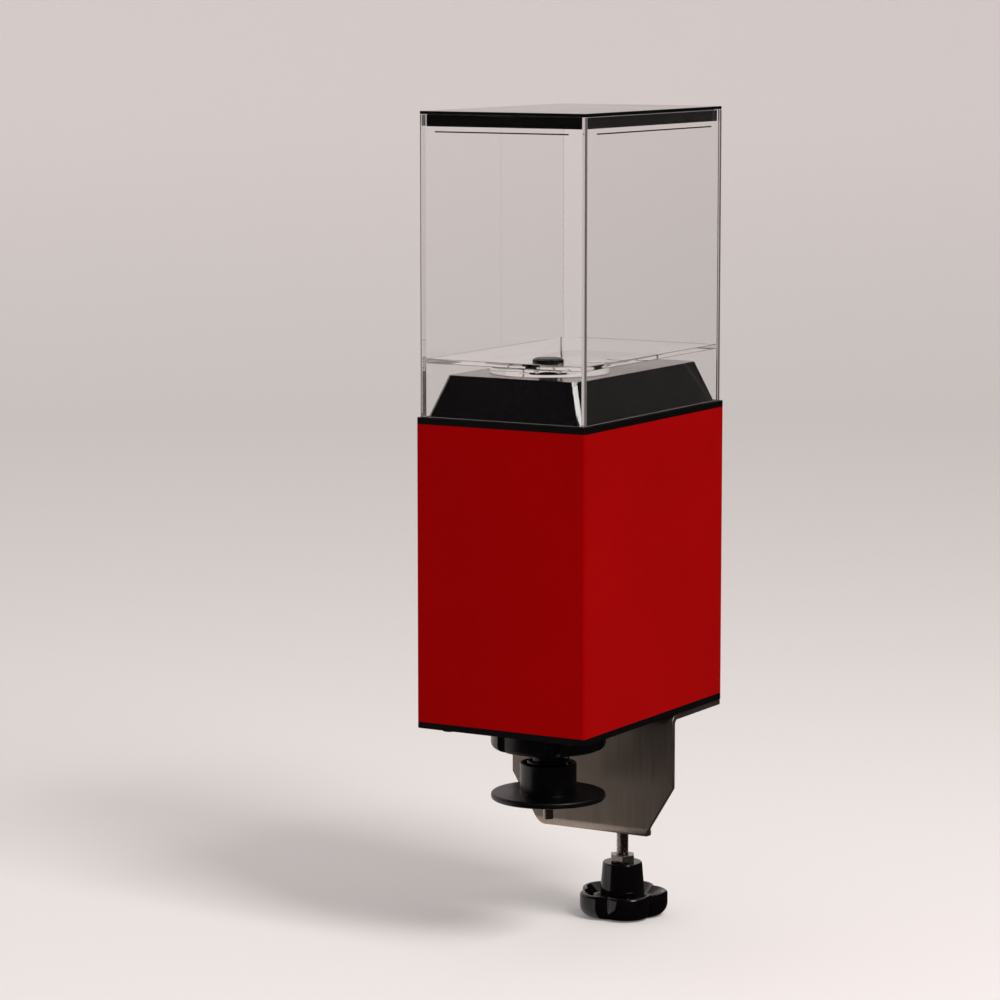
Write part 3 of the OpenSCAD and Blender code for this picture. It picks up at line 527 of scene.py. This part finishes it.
def matt_rubber(finish, colours):
    finish.set({"Specular IOR Level": 0.3})
    grain = finish.noise(1600, detail=3.0)
    finish.mottle(colours.rubber, grain, 0.25)
    finish.polish(grain, 0.7, 0.85)
    finish.relief(grain, 0.05 * MM, 0.5)


def coat(maker):
    """The finish that a maker function gives, made once."""
    made = bpy.data.materials.get(maker.__name__)
    if made is None:
        finish = Finish(maker.__name__)
        maker(finish, bpy.context.scene.dispenser_colours)
        made = finish.material
    return made


def middle(*nodes):
    """The centre of the box round some nodes."""
    boxes = [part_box(node) for node in nodes]
    low = Vector(min(corner) for corner in zip(*(box[0] for box in boxes)))
    high = Vector(max(corner) for corner in zip(*(box[1] for box in boxes)))
    return (low + high) / 2


def merged_copy(node):
    """A node's solid as one joined mesh with whole flat faces."""
    bm = bmesh.new()
    bm.from_mesh(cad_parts[node].data)
    bmesh.ops.remove_doubles(bm, verts=bm.verts, dist=WELD)
    bmesh.ops.dissolve_limit(
        bm, angle_limit=FLAT_ANGLE, use_dissolve_boundaries=False, verts=bm.verts, edges=bm.edges, delimit=set()
    )
    return bm


def slab(low, high):
    """A box between two corners."""
    bm = bmesh.new()
    shape = Matrix.Translation((low + high) / 2) @ Matrix.Diagonal((*(high - low), 1.0))
    bmesh.ops.create_cube(bm, size=1.0, matrix=shape)
    return bm


def turned(outline, at, steps=96):
    """A closed outline of (radius, height) points spun round the upright axis through a point."""
    bm = bmesh.new()
    points = [bm.verts.new((at.x + radius, at.y, height)) for radius, height in outline]
    radii = [radius for radius, height in outline]
    edges = []
    for i, point in enumerate(points):
        after = (i + 1) % len(points)
        if radii[i] > 0 or radii[after] > 0:
            edges.append(bm.edges.new((point, points[after])))
    bmesh.ops.spin(
        bm, geom=points + edges, cent=(at.x, at.y, 0), axis=(0, 0, 1), angle=math.tau, steps=steps, use_merge=True
    )
    close_up(bm)
    return bm


def close_up(bm):
    """Join the seams and poles and turn the faces outwards."""
    bmesh.ops.remove_doubles(bm, verts=bm.verts, dist=WELD)
    bmesh.ops.recalc_face_normals(bm, faces=bm.faces)


def soften(bm, width, segments=2, sharper_than=40):
    """Round the edges that are sharper than an angle in degrees."""
    limit = math.radians(sharper_than)
    edges = [edge for edge in bm.edges if edge.is_manifold and edge.calc_face_angle() > limit]
    round_edges(bm, edges, width, segments)


def round_edges(bm, edges, width, segments):
    """Round some edges."""
    bmesh.ops.bevel(
        bm,
        geom=edges,
        offset=width,
        offset_type="OFFSET",
        affect="EDGES",
        segments=segments,
        profile=0.5,
        clamp_overlap=True,
        material=-1,
    )


def round_ring(bm, at, radius, height, width, segments):
    """Round the circular edge at that radius and height."""
    near = 0.05 * MM

    def on_ring(vert):
        out = math.hypot(vert.co.x - at.x, vert.co.y - at.y)
        return abs(out - radius) < near and abs(vert.co.z - height) < near

    edges = [edge for edge in bm.edges if all(on_ring(vert) for vert in edge.verts)]
    round_edges(bm, edges, width, segments)


def pull_in(bm, at, reach):
    """Set each point's distance from an upright axis to reach(angle, distance)."""
    for vert in bm.verts:
        x, y = vert.co.x - at.x, vert.co.y - at.y
        out = math.hypot(x, y)
        if out > WELD:
            scale = reach(math.atan2(y, x), out) / out
            vert.co.x = at.x + x * scale
            vert.co.y = at.y + y * scale


def off_axis(angle, number, first):
    """Angle from the nearest of some evenly spaced directions."""
    step = math.tau / number
    return (angle - first + step / 2) % step - step / 2


def piece(name, bm, finish, body, nodes=(), sharp=35, even=True):
    """Make a mesh a finished piece that rides on a body and stands for its nodes."""
    mesh = bpy.data.meshes.new(name)
    bm.to_mesh(mesh)
    bm.free()
    mesh.shade_smooth()
    mesh.set_sharp_from_angle(angle=math.radians(sharp))
    mesh.materials.append(coat(finish))
    made = bpy.data.objects.new(name, mesh)
    bpy.context.scene.collection.objects.link(made)
    if even:
        shading = made.modifiers.new("Even shading", "WEIGHTED_NORMAL")
        shading.keep_sharp = True
    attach(made, body)
    if nodes:
        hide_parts(*nodes)
    return made


def eased(name, node, width, finish, body, segments=2):
    """A piece that is a node's solid with its edges rounded."""
    bm = merged_copy(node)
    soften(bm, width, segments)
    return piece(name, bm, finish, body, [node])


def dress(finish, *nodes):
    """Give solids that stay as they are their finish."""
    for node in nodes:
        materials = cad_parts[node].data.materials
        materials.clear()
        materials.append(coat(finish))


class DispenserOperator:
    """What the building operators share."""

    bl_options = {"REGISTER", "UNDO"}

    def execute(self, context):
        scene = context.scene
        self.build(scene.dispenser_sizes, scene.dispenser_studio)
        return {"FINISHED"}


class DISPENSER_OT_stage(DispenserOperator, Operator):
    """Set up the camera, the lamps, the floor and the backdrop"""

    bl_idname = "dispenser.stage"
    bl_label = "Studio"

    def build(self, sizes, studio):
        scene = bpy.context.scene
        scene.view_settings.view_transform = "Standard"
        lens = bpy.data.cameras.new("camera")
        lens.lens = studio.camera_lens
        camera = bpy.data.objects.new("camera", lens)
        camera.location = studio.camera_at
        camera.rotation_euler = (math.pi / 2 - studio.camera_down, 0, studio.camera_round)
        scene.collection.objects.link(camera)
        scene.camera = camera
        self.sky(scene, studio)
        self.lamp(scene, studio)
        self.sweep(scene, studio)
        self.drape(scene, studio)

    def sky(self, scene, studio):
        """Even light from all round."""
        world = bpy.data.worlds.new("studio")
        world.use_nodes = True
        light = world.node_tree.nodes["Background"]
        light.inputs["Color"].default_value = (*studio.sky, 1.0)
        light.inputs["Strength"].default_value = studio.sky_level
        scene.world = world

    def lamp(self, scene, studio):
        """A square lamp that looks at the middle of the object."""
        light = bpy.data.lights.new("key", "AREA")
        light.energy = studio.key_power
        light.size = studio.key_size
        light.color = studio.sky
        light.spread = studio.key_spread
        lamp = bpy.data.objects.new("key", light)
        lamp.location = studio.key_at
        aim = (CAD_BOX[0] + CAD_BOX[1]) / 2 - studio.key_at
        lamp.rotation_euler = aim.to_track_quat("-Z", "Y").to_euler()
        lamp.visible_camera = False
        scene.collection.objects.link(lamp)

    def sweep(self, scene, studio):
        """A pale floor that curves up into a round backdrop."""
        at = (CAD_BOX[0] + CAD_BOX[1]) / 2
        low = CAD_BOX[0].z - studio.floor_gap
        bm = bmesh.new()
        points = [
            bm.verts.new((at.x + radius, at.y, height))
            for radius, height in ((0, low), (studio.sweep_r, low), (studio.sweep_r, low + studio.sweep_h))
        ]
        edges = [bm.edges.new(pair) for pair in zip(points, points[1:])]
        bmesh.ops.spin(
            bm, geom=points + edges, cent=(at.x, at.y, 0), axis=(0, 0, 1), angle=math.tau, steps=128, use_merge=True
        )
        close_up(bm)
        round_ring(bm, at, studio.sweep_r, low, studio.sweep_cove, 16)
        if sum(face.normal.z for face in bm.faces) < 0:
            bmesh.ops.reverse_faces(bm, faces=bm.faces)
        self.stand(scene, "sweep", bm, self.paper(studio))

    def drape(self, scene, studio):
        """Dark cloth over the floor and up behind the camera, which only reflections show."""
        low = CAD_BOX[0].z - studio.floor_gap / 2
        camera_side = math.atan2(studio.camera_at.y, studio.camera_at.x)
        bm = bmesh.new()
        for left, ends in (
            (studio.drape_near, ((0, low), (studio.near_r, low))),
            (studio.drape_left, ((studio.near_r, low), (studio.drape_r, low))),
            (studio.drape_side, ((studio.drape_r, low), (studio.drape_r, low + studio.drape_h))),
        ):
            first = camera_side - left
            points = [
                bm.verts.new((radius * math.cos(first), radius * math.sin(first), height)) for radius, height in ends
            ]
            bmesh.ops.spin(
                bm,
                geom=[*points, bm.edges.new(points)],
                cent=(0, 0, 0),
                axis=(0, 0, 1),
                angle=left + studio.drape_right,
                steps=48,
                use_merge=False,
            )
        close_up(bm)
        cloth = Finish("dark_cloth")
        cloth.set({"Specular IOR Level": 0.0, "Roughness": 1.0})
        cloth.mottle(studio.drape, cloth.noise(40), 0.2)
        self.thin(cloth, studio)
        drape = self.stand(scene, "drape", bm, cloth.material)
        drape.visible_camera = False
        drape.visible_diffuse = False
        drape.visible_transmission = False
        drape.visible_shadow = False

    def thin(self, cloth, studio):
        """Let light through to rays that end inside a clear sheet, most of it inside a second one."""
        surfaces = cloth.node("LightPath").outputs["Transmission Depth"]
        share = cloth.remap(surfaces, (1.0, 3.0), (studio.drape_thin, studio.drape_deep))
        inside = cloth.reckon("MODULO", surfaces, 2.0)
        cloth.choose(cloth.reckon("MULTIPLY", inside, share), cloth.node("BsdfTransparent"))

    def stand(self, scene, name, bm, material):
        """Put a piece of the studio in the scene."""
        mesh = bpy.data.meshes.new(name)
        bm.to_mesh(mesh)
        bm.free()
        mesh.shade_smooth()
        mesh.materials.append(material)
        made = bpy.data.objects.new(name, mesh)
        scene.collection.objects.link(made)
        return made

    def paper(self, studio):
        """Matt paper, clear from below so that the underside can be looked at."""
        finish = Finish("backdrop_paper")
        finish.set({"Specular IOR Level": 0.0, "Roughness": 1.0, "Emission Color": (*studio.sky, 1.0)})
        rise = self.rise(finish, studio)
        # the paper's colour darkens from the floor up the wall: painted shade
        finish.drive("Base Color", finish.blend(rise, studio.floor, studio.wall))
        finish.drive("Emission Strength", self.glow(finish, studio, rise))
        below = finish.node("NewGeometry").outputs["Backfacing"]
        finish.choose(below, finish.node("BsdfTransparent"))
        return finish.material

    def rise(self, finish, studio):
        """A pattern that is low on the floor and high on the upper wall."""
        height = finish.node("SeparateXYZ")
        finish.link(finish.place(), height.inputs["Vector"])
        low = CAD_BOX[0].z
        span = (low, low + studio.rise_h)
        return finish.remap(height.outputs["Z"], span, PATTERN_RANGE, interpolation_type="SMOOTHSTEP")

    def glow(self, finish, studio, rise):
        """Paleness that the lens and mirrors see, and that lights nothing."""
        seen = finish.reckon("SUBTRACT", 1.0, finish.node("LightPath").outputs["Is Diffuse Ray"])
        return finish.reckon("MULTIPLY", finish.spread(rise, studio.floor_glow, studio.wall_glow), seen)


class DISPENSER_OT_body(DispenserOperator, Operator):
    """Build the painted sleeve, its two plates and their screws"""

    bl_idname = "dispenser.body"
    bl_label = "Body"

    def build(self, sizes, studio):
        eased("painted_sleeve", "body_shell", sizes.sheet_break, red_powder_coat, "base")
        eased("upper_plate", "top_plate", sizes.sheet_break, black_powder_coat, "base")
        eased("lower_plate", "base_plate", sizes.sheet_break, black_powder_coat, "base")
        eased("front_screws", "front_base_screws", sizes.hardware_break, black_powder_coat, "base")


class DISPENSER_OT_deck(DispenserOperator, Operator):
    """Build the tapered deck that the tank drops over"""

    bl_idname = "dispenser.deck"
    bl_label = "Deck"

    def build(self, sizes, studio):
        bm = merged_copy("deck")
        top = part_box("deck")[1].z
        ridges = [
            edge
            for edge in bm.edges
            if edge.calc_length() > sizes.ridge_least
            and edge.calc_face_angle(0) > RIDGE_ANGLE
            and sum(abs(vert.co.z - top) < WELD for vert in edge.verts) == 1
        ]
        round_edges(bm, ridges, sizes.deck_ridge, 1)
        piece("tapered_deck", bm, glossy_deck_sheet, "base", ["deck"], sharp=30)


class DISPENSER_OT_tank(DispenserOperator, Operator):
    """Build the clear tank with its outlet, strainer and fill lines"""

    bl_idname = "dispenser.tank"
    bl_label = "Tank"

    def build(self, sizes, studio):
        across = Vector((0, sizes.glue_gap, 0))
        for side, gap in (("front", across * 0), ("rear", across * 0), ("left", across), ("right", across)):
            low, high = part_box(f"tank_{side}_pane")
            self.clear_piece(f"{side}_pane", slab(low + gap, high - gap), f"tank_{side}_pane", sizes)
        floor = self.shrunk("tank_floor", sizes.glue_gap, 0)
        self.clear_piece("floor_sheet", floor, "tank_floor", sizes, clear_block)
        boss = self.shrunk("tank_outlet", 0, sizes.glue_gap)
        self.clear_piece("outlet_boss", boss, "tank_outlet", sizes, clear_block)
        eased("strainer", "strainer_cap", sizes.moulded_break, turned_black_plastic, "tank")
        dress(matt_rubber, "outlet_ring")
        dress(printed_line, "fill_lines")

    def shrunk(self, node, sideways, upright):
        """A copy of a solid drawn in a little from the sheets that it meets."""
        bm = merged_copy(node)
        low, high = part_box(node)
        size = high - low
        gap = Vector((sideways, sideways, upright))
        scale = Vector((1 - 2 * gap[i] / size[i] for i in range(3)))
        bmesh.ops.scale(bm, vec=scale, space=Matrix.Translation(-(low + high) / 2), verts=bm.verts)
        return bm

    def clear_piece(self, name, bm, node, sizes, finish=clear_sheet):
        """A clear piece with broken edges, sawn on a sheet's side ends and feet and on a block's slants; the dark
        sawn grey on a sheet's downward faces and chamfers also paints the shade under the pane.
        """
        ends = [face for face in bm.faces if finish == clear_sheet and abs(face.normal.x) > FACING]
        for face in ends:
            face.material_index = int(face.calc_area() < sizes.pane_end_area)
        soften(bm, sizes.pane_chamfer, segments=1, sharper_than=60)
        for face in bm.faces:
            if finish == clear_block and SLANTED < abs(face.normal.z) < FACING:
                face.material_index = 1
            # painted shade: a sheet's feet and lower chamfers take the dark sawn finish, standing for the shade where
            # the pane sits over the plate
            if finish == clear_sheet and face.normal.z < -SLANTED:
                face.material_index = 1
        made = piece(name, bm, finish, "tank", [node], sharp=30, even=False)
        made.data.materials.append(coat(sawn_edge_and_shade))


class DISPENSER_OT_lid(DispenserOperator, Operator):
    """Build the lid's plate and plug"""

    bl_idname = "dispenser.lid"
    bl_label = "Lid"

    def build(self, sizes, studio):
        eased("lid_sheet", "lid_plate", sizes.lid_break, polished_black_sheet, "lid")
        eased("lid_insert", "lid_plug", sizes.lid_break, polished_black_sheet, "lid")


class DISPENSER_OT_tap(DispenserOperator, Operator):
    """Build the star collar, the push cup with its disc, the spout and the return spring"""

    bl_idname = "dispenser.tap"
    bl_label = "Tap"

    def build(self, sizes, studio):
        self.collar(sizes)
        self.cup(sizes)
        self.spout(sizes)
        self.spring(sizes)
        eased("valve_guide", "valve_body", sizes.moulded_break, turned_black_plastic, "base")
        dress(turned_brass, "valve_poppet")
        dress(matt_rubber, "poppet_seal", "outlet_gasket")

    def collar(self, sizes):
        """Round collar with finger grooves."""
        low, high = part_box("star_collar")
        at = middle("push_disc")
        rim = sizes.collar_dia / 2
        bore = sizes.stem_dia / 2 + sizes.turned_fit
        bm = turned([(bore, low.z), (rim, low.z), (rim, high.z), (bore, high.z)], at, steps=360)
        round_ring(bm, at, rim, low.z, sizes.collar_round, 8)
        round_ring(bm, at, rim, high.z, sizes.moulded_break, 2)
        groove_r = sizes.groove_w / 2
        groove_at = rim - sizes.groove_depth + groove_r

        def reach(angle, out):
            """Distance to the groove's wall where it lies nearer than the point."""
            off = off_axis(angle, sizes.grooves, sizes.groove_turn)
            inside = groove_r**2 - (groove_at * math.sin(off)) ** 2
            if inside <= 0:
                return out
            return min(out, groove_at * math.cos(off) - math.sqrt(inside))

        pull_in(bm, at, reach)
        close_up(bm)
        piece("finger_collar", bm, turned_black_plastic, "base", ["star_collar"])

    def cup(self, sizes):
        """Push cup on its disc, turned in one."""
        low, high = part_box("push_disc")
        at = middle("push_disc")
        disc = (high.x - low.x) / 2
        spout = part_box("spout_tube")
        bore = (spout[1].x - spout[0].x) / 2 + sizes.turned_fit
        cup = sizes.cup_dia / 2
        inner = cup - sizes.cup_wall
        top = low.z + sizes.disc_t
        bm = turned(
            [
                (bore, low.z), (disc, low.z), (disc, top), (cup, top),
                (cup, high.z), (inner, high.z), (inner, top), (bore, top),
            ],
            at,
        )
        for height in (low.z, top):
            round_ring(bm, at, disc, height, sizes.disc_round, 4)
        round_ring(bm, at, cup, top, sizes.moulded_break, 3)
        for radius in (cup, inner):
            round_ring(bm, at, radius, high.z, sizes.moulded_break, 3)
        piece("push_cup", bm, turned_black_plastic, "push_head", ["push_disc"])

    def spout(self, sizes):
        """Steel tube, open at its tip."""
        low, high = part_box("spout_tube")
        at = middle("spout_tube")
        outer = (high.x - low.x) / 2
        inner = outer - sizes.spout_wall
        bottom = high.z - sizes.spout_top
        bm = turned(
            [(0, high.z), (outer, high.z), (outer, low.z), (inner, low.z), (inner, bottom), (0, bottom)], at, steps=48
        )
        for radius in (outer, inner):
            round_ring(bm, at, radius, low.z, sizes.spout_break, 2)
        piece("spout", bm, drawn_stainless, "push_head", ["spout_tube"])

    def spring(self, sizes):
        """Wire coil whose end turns lie closed."""
        low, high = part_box("return_spring")
        at = middle("push_disc")
        wire = sizes.coil_wire / 2
        coil_r = (high.x - low.x) / 2 - wire
        around = 32
        bm = bmesh.new()
        section = bmesh.ops.create_circle(
            bm,
            cap_ends=True,
            radius=wire,
            segments=12,
            matrix=Matrix.Translation((at.x + coil_r, at.y, low.z + wire)) @ Matrix.Rotation(math.pi / 2, 4, "X"),
        )["verts"]
        open_turns = sizes.coils - 2
        open_rise = (high.z - low.z - sizes.coil_wire - 2 * sizes.coil_rise) / open_turns
        geometry = [*bm.faces, *bm.edges, *section]
        for turns, rise in ((1, sizes.coil_rise), (open_turns, open_rise), (1, sizes.coil_rise)):
            geometry = bmesh.ops.spin(
                bm,
                geom=geometry,
                cent=(at.x, at.y, 0),
                axis=(0, 0, 1),
                dvec=(0, 0, rise / around),
                angle=math.tau * turns,
                steps=around * turns,
                use_merge=False,
            )["geom_last"]
        close_up(bm)
        made = piece("return_coil", bm, wire_painted_shade, "base", ["return_spring"], even=False)
        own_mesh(made)


class DISPENSER_OT_bracket(DispenserOperator, Operator):
    """Build the bent bracket with its screws and threaded bush"""

    bl_idname = "dispenser.bracket"
    bl_label = "Bracket"

    def build(self, sizes, studio):
        eased("bent_bracket", "clamp_bracket", sizes.bracket_break, brushed_stainless, "base", 3)
        eased("seat_screws", "bracket_screws", sizes.hardware_break, zinc_plate, "base")
        eased("jaw_bush", "threaded_bush", sizes.hardware_break, zinc_plate, "base")


class DISPENSER_OT_clamp(DispenserOperator, Operator):
    """Build the threaded rod, its lock nut, the lobed knob and the pad"""

    bl_idname = "dispenser.clamp"
    bl_label = "Clamp"

    def build(self, sizes, studio):
        self.rod(sizes)
        self.knob(sizes)
        self.pad(sizes)
        eased("hex_nut", "lock_nut", sizes.hardware_break, zinc_plate, "screw", 3)
        eased("swivel_foot", "pad_foot", sizes.hardware_break, zinc_plate, "pad", 3)

    def rod(self, sizes):
        """Rod with a true thread and a plain swivel tip."""
        low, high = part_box("clamp_screw")
        at = middle("clamp_screw")
        root = sizes.rod_dia / 2 - sizes.thread_depth
        pitch = sizes.thread_pitch
        thread_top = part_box("pad_foot")[0].z - sizes.thread_gap
        around = 24
        turns = math.ceil((thread_top - low.z) / pitch) + 2
        bm = bmesh.new()
        start = low.z - pitch
        section = [
            bm.verts.new((at.x + root + out * sizes.thread_depth, at.y, start + up * pitch))
            for up, out in THREAD_FORM
        ]
        edges = [bm.edges.new(pair) for pair in zip(section, section[1:])]
        bmesh.ops.spin(
            bm,
            geom=section + edges,
            cent=(at.x, at.y, 0),
            axis=(0, 0, 1),
            dvec=(0, 0, pitch / around),
            angle=math.tau * turns,
            steps=around * turns,
            use_merge=False,
        )
        bmesh.ops.remove_doubles(bm, verts=bm.verts, dist=5 * WELD)
        for height, way in ((low.z, -1), (thread_top, 1)):
            everything = [*bm.verts, *bm.edges, *bm.faces]
            bmesh.ops.bisect_plane(
                bm, geom=everything, plane_co=(0, 0, height), plane_no=(0, 0, way), clear_outer=True
            )
        rims = [edge for edge in bm.edges if edge.is_boundary]
        bmesh.ops.holes_fill(bm, edges=rims, sides=0)
        close_up(bm)
        swivel = sizes.swivel_dia / 2
        foot = thread_top - pitch
        tip = turned([(0, foot), (swivel, foot), (swivel, high.z), (0, high.z)], at, steps=48)
        soften(tip, sizes.swivel_break, 2)
        joined = bpy.data.meshes.new("swivel_tip")
        tip.to_mesh(joined)
        tip.free()
        bm.from_mesh(joined)
        bpy.data.meshes.remove(joined)
        piece("threaded_rod", bm, zinc_plate, "screw", ["clamp_screw"], even=False)

    def knob(self, sizes):
        """Dished knob with a tapered hub and a lobed rim."""
        low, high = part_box("clamp_knob")
        at = middle("clamp_screw")
        rim = sizes.knob_dia / 2
        lip = rim - sizes.rim_lip
        hub = sizes.hub_dia / 2
        foot = hub + sizes.hub_flare
        rim_top = low.z + sizes.rim_h
        dish = rim_top - sizes.dish_h
        bore = sizes.rod_dia / 2 + sizes.turned_fit
        bm = turned(
            [
                (0, low.z), (rim, low.z), (rim, rim_top), (lip, rim_top), (foot + sizes.dish_h, dish),
                (foot, dish), (hub, high.z), (bore, high.z), (bore, rim_top), (0, rim_top),
            ],
            at,
            steps=240,
        )
        round_ring(bm, at, rim, low.z, sizes.rim_round, 10)
        round_ring(bm, at, rim, rim_top, sizes.rim_edge, 4)
        round_ring(bm, at, lip, rim_top, sizes.lip_edge, 3)
        round_ring(bm, at, foot + sizes.dish_h, dish, sizes.dish_round, 3)
        round_ring(bm, at, foot, dish, sizes.hub_fillet, 4)
        round_ring(bm, at, hub, high.z, sizes.hub_edge, 3)
        valley = sizes.knob_valley / 2
        lobe_at = rim - sizes.lobe_r
        still = foot + sizes.dish_h / 2

        def reach(angle, out):
            """The rim drawn in between its lobes, and the hub as it is."""
            if out <= still:
                return out
            off = off_axis(angle, sizes.lobes, sizes.lobe_turn)
            inside = sizes.lobe_r**2 - (lobe_at * math.sin(off)) ** 2
            edge = max(valley, lobe_at * math.cos(off) + math.sqrt(max(inside, 0.0)))
            return still + (out - still) * (edge - still) / (rim - still)

        pull_in(bm, at, reach)
        close_up(bm)
        piece("lobed_knob", bm, glossy_knob_plastic, "screw", ["clamp_knob"], sharp=50)

    def pad(self, sizes):
        """Rubber face with round grip grooves."""
        low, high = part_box("pad_rubber")
        at = middle("pad_rubber")
        rim = (high.x - low.x) / 2
        half, deep = sizes.grip_w / 2, sizes.grip_depth
        outline = [(0, low.z), (rim, low.z), (rim, high.z)]
        for radius in GRIP_RADII:
            for out, drop in ((half, 0), (half, deep), (-half, deep), (-half, 0)):
                outline.append((radius + out, high.z - drop))
        outline.append((0, high.z))
        bm = turned(outline, at)
        for height in (low.z, high.z):
            round_ring(bm, at, rim, height, sizes.pad_break, 3)
        piece("pad_face", bm, matt_rubber, "pad", ["pad_rubber"])


class DISPENSER_OT_power(DispenserOperator, Operator):
    """Build the power inlet and the rocker switch on the rear wall"""

    bl_idname = "dispenser.power"
    bl_label = "Power entry"

    def build(self, sizes, studio):
        edge = sizes.moulded_break
        eased("inlet_socket", "power_inlet", edge, moulded_black_plastic, "base")
        eased("inlet_blades", "inlet_pins", edge, zinc_plate, "base")
        eased("switch_frame", "switch_housing", edge, moulded_black_plastic, "base")
        eased("rocker", "switch_rocker", edge, moulded_black_plastic, "rocker")


class DISPENSER_OT_works(DispenserOperator, Operator):
    """Give the pieces inside the body their finishes"""

    bl_idname = "dispenser.works"
    bl_label = "Works"

    def build(self, sizes, studio):
        dress(zinc_plate, "corner_posts", "plate_screws", "vessel_stand")
        dress(drawn_stainless, "vessel", "vessel_cover")
        dress(heat_tinted_band, "heating_band")
        dress(felted_fibre, "insulating_jacket")
        dress(pale_moulding, "thermostat")
        dress(milky_silicone, "feed_tube")


BUILDERS = (
    DISPENSER_OT_stage,
    DISPENSER_OT_body,
    DISPENSER_OT_deck,
    DISPENSER_OT_tank,
    DISPENSER_OT_lid,
    DISPENSER_OT_tap,
    DISPENSER_OT_bracket,
    DISPENSER_OT_clamp,
    DISPENSER_OT_power,
    DISPENSER_OT_works,
)
SETTINGS = {
    "dispenser_sizes": DispenserSizes,
    "dispenser_colours": DispenserColours,
    "dispenser_studio": DispenserStudio,
}


class DISPENSER_PT_panel(Panel):
    """Lists the settings and the building operators"""

    bl_idname = "DISPENSER_PT_panel"
    bl_label = "Drink dispenser"
    bl_space_type = "VIEW_3D"
    bl_region_type = "UI"
    bl_category = "Dispenser"

    def draw(self, context):
        for builder in BUILDERS:
            self.layout.operator(builder.bl_idname)
        for name, group in SETTINGS.items():
            box = self.layout.box()
            for setting in group.__annotations__:
                box.prop(getattr(context.scene, name), setting)


CLASSES = (*SETTINGS.values(), *BUILDERS, DISPENSER_PT_panel)


def register():
    for made in CLASSES:
        bpy.utils.register_class(made)
    for name, group in SETTINGS.items():
        setattr(bpy.types.Scene, name, PointerProperty(type=group))


def unregister():
    for name in SETTINGS:
        delattr(bpy.types.Scene, name)
    for made in reversed(CLASSES):
        bpy.utils.unregister_class(made)


def main():
    register()
    bpy.ops.dispenser.stage()
    bpy.ops.dispenser.body()
    bpy.ops.dispenser.deck()
    bpy.ops.dispenser.tank()
    bpy.ops.dispenser.lid()
    bpy.ops.dispenser.tap()
    bpy.ops.dispenser.bracket()
    bpy.ops.dispenser.clamp()
    bpy.ops.dispenser.power()
    bpy.ops.dispenser.works()


if __name__ == "__main__":
    main()
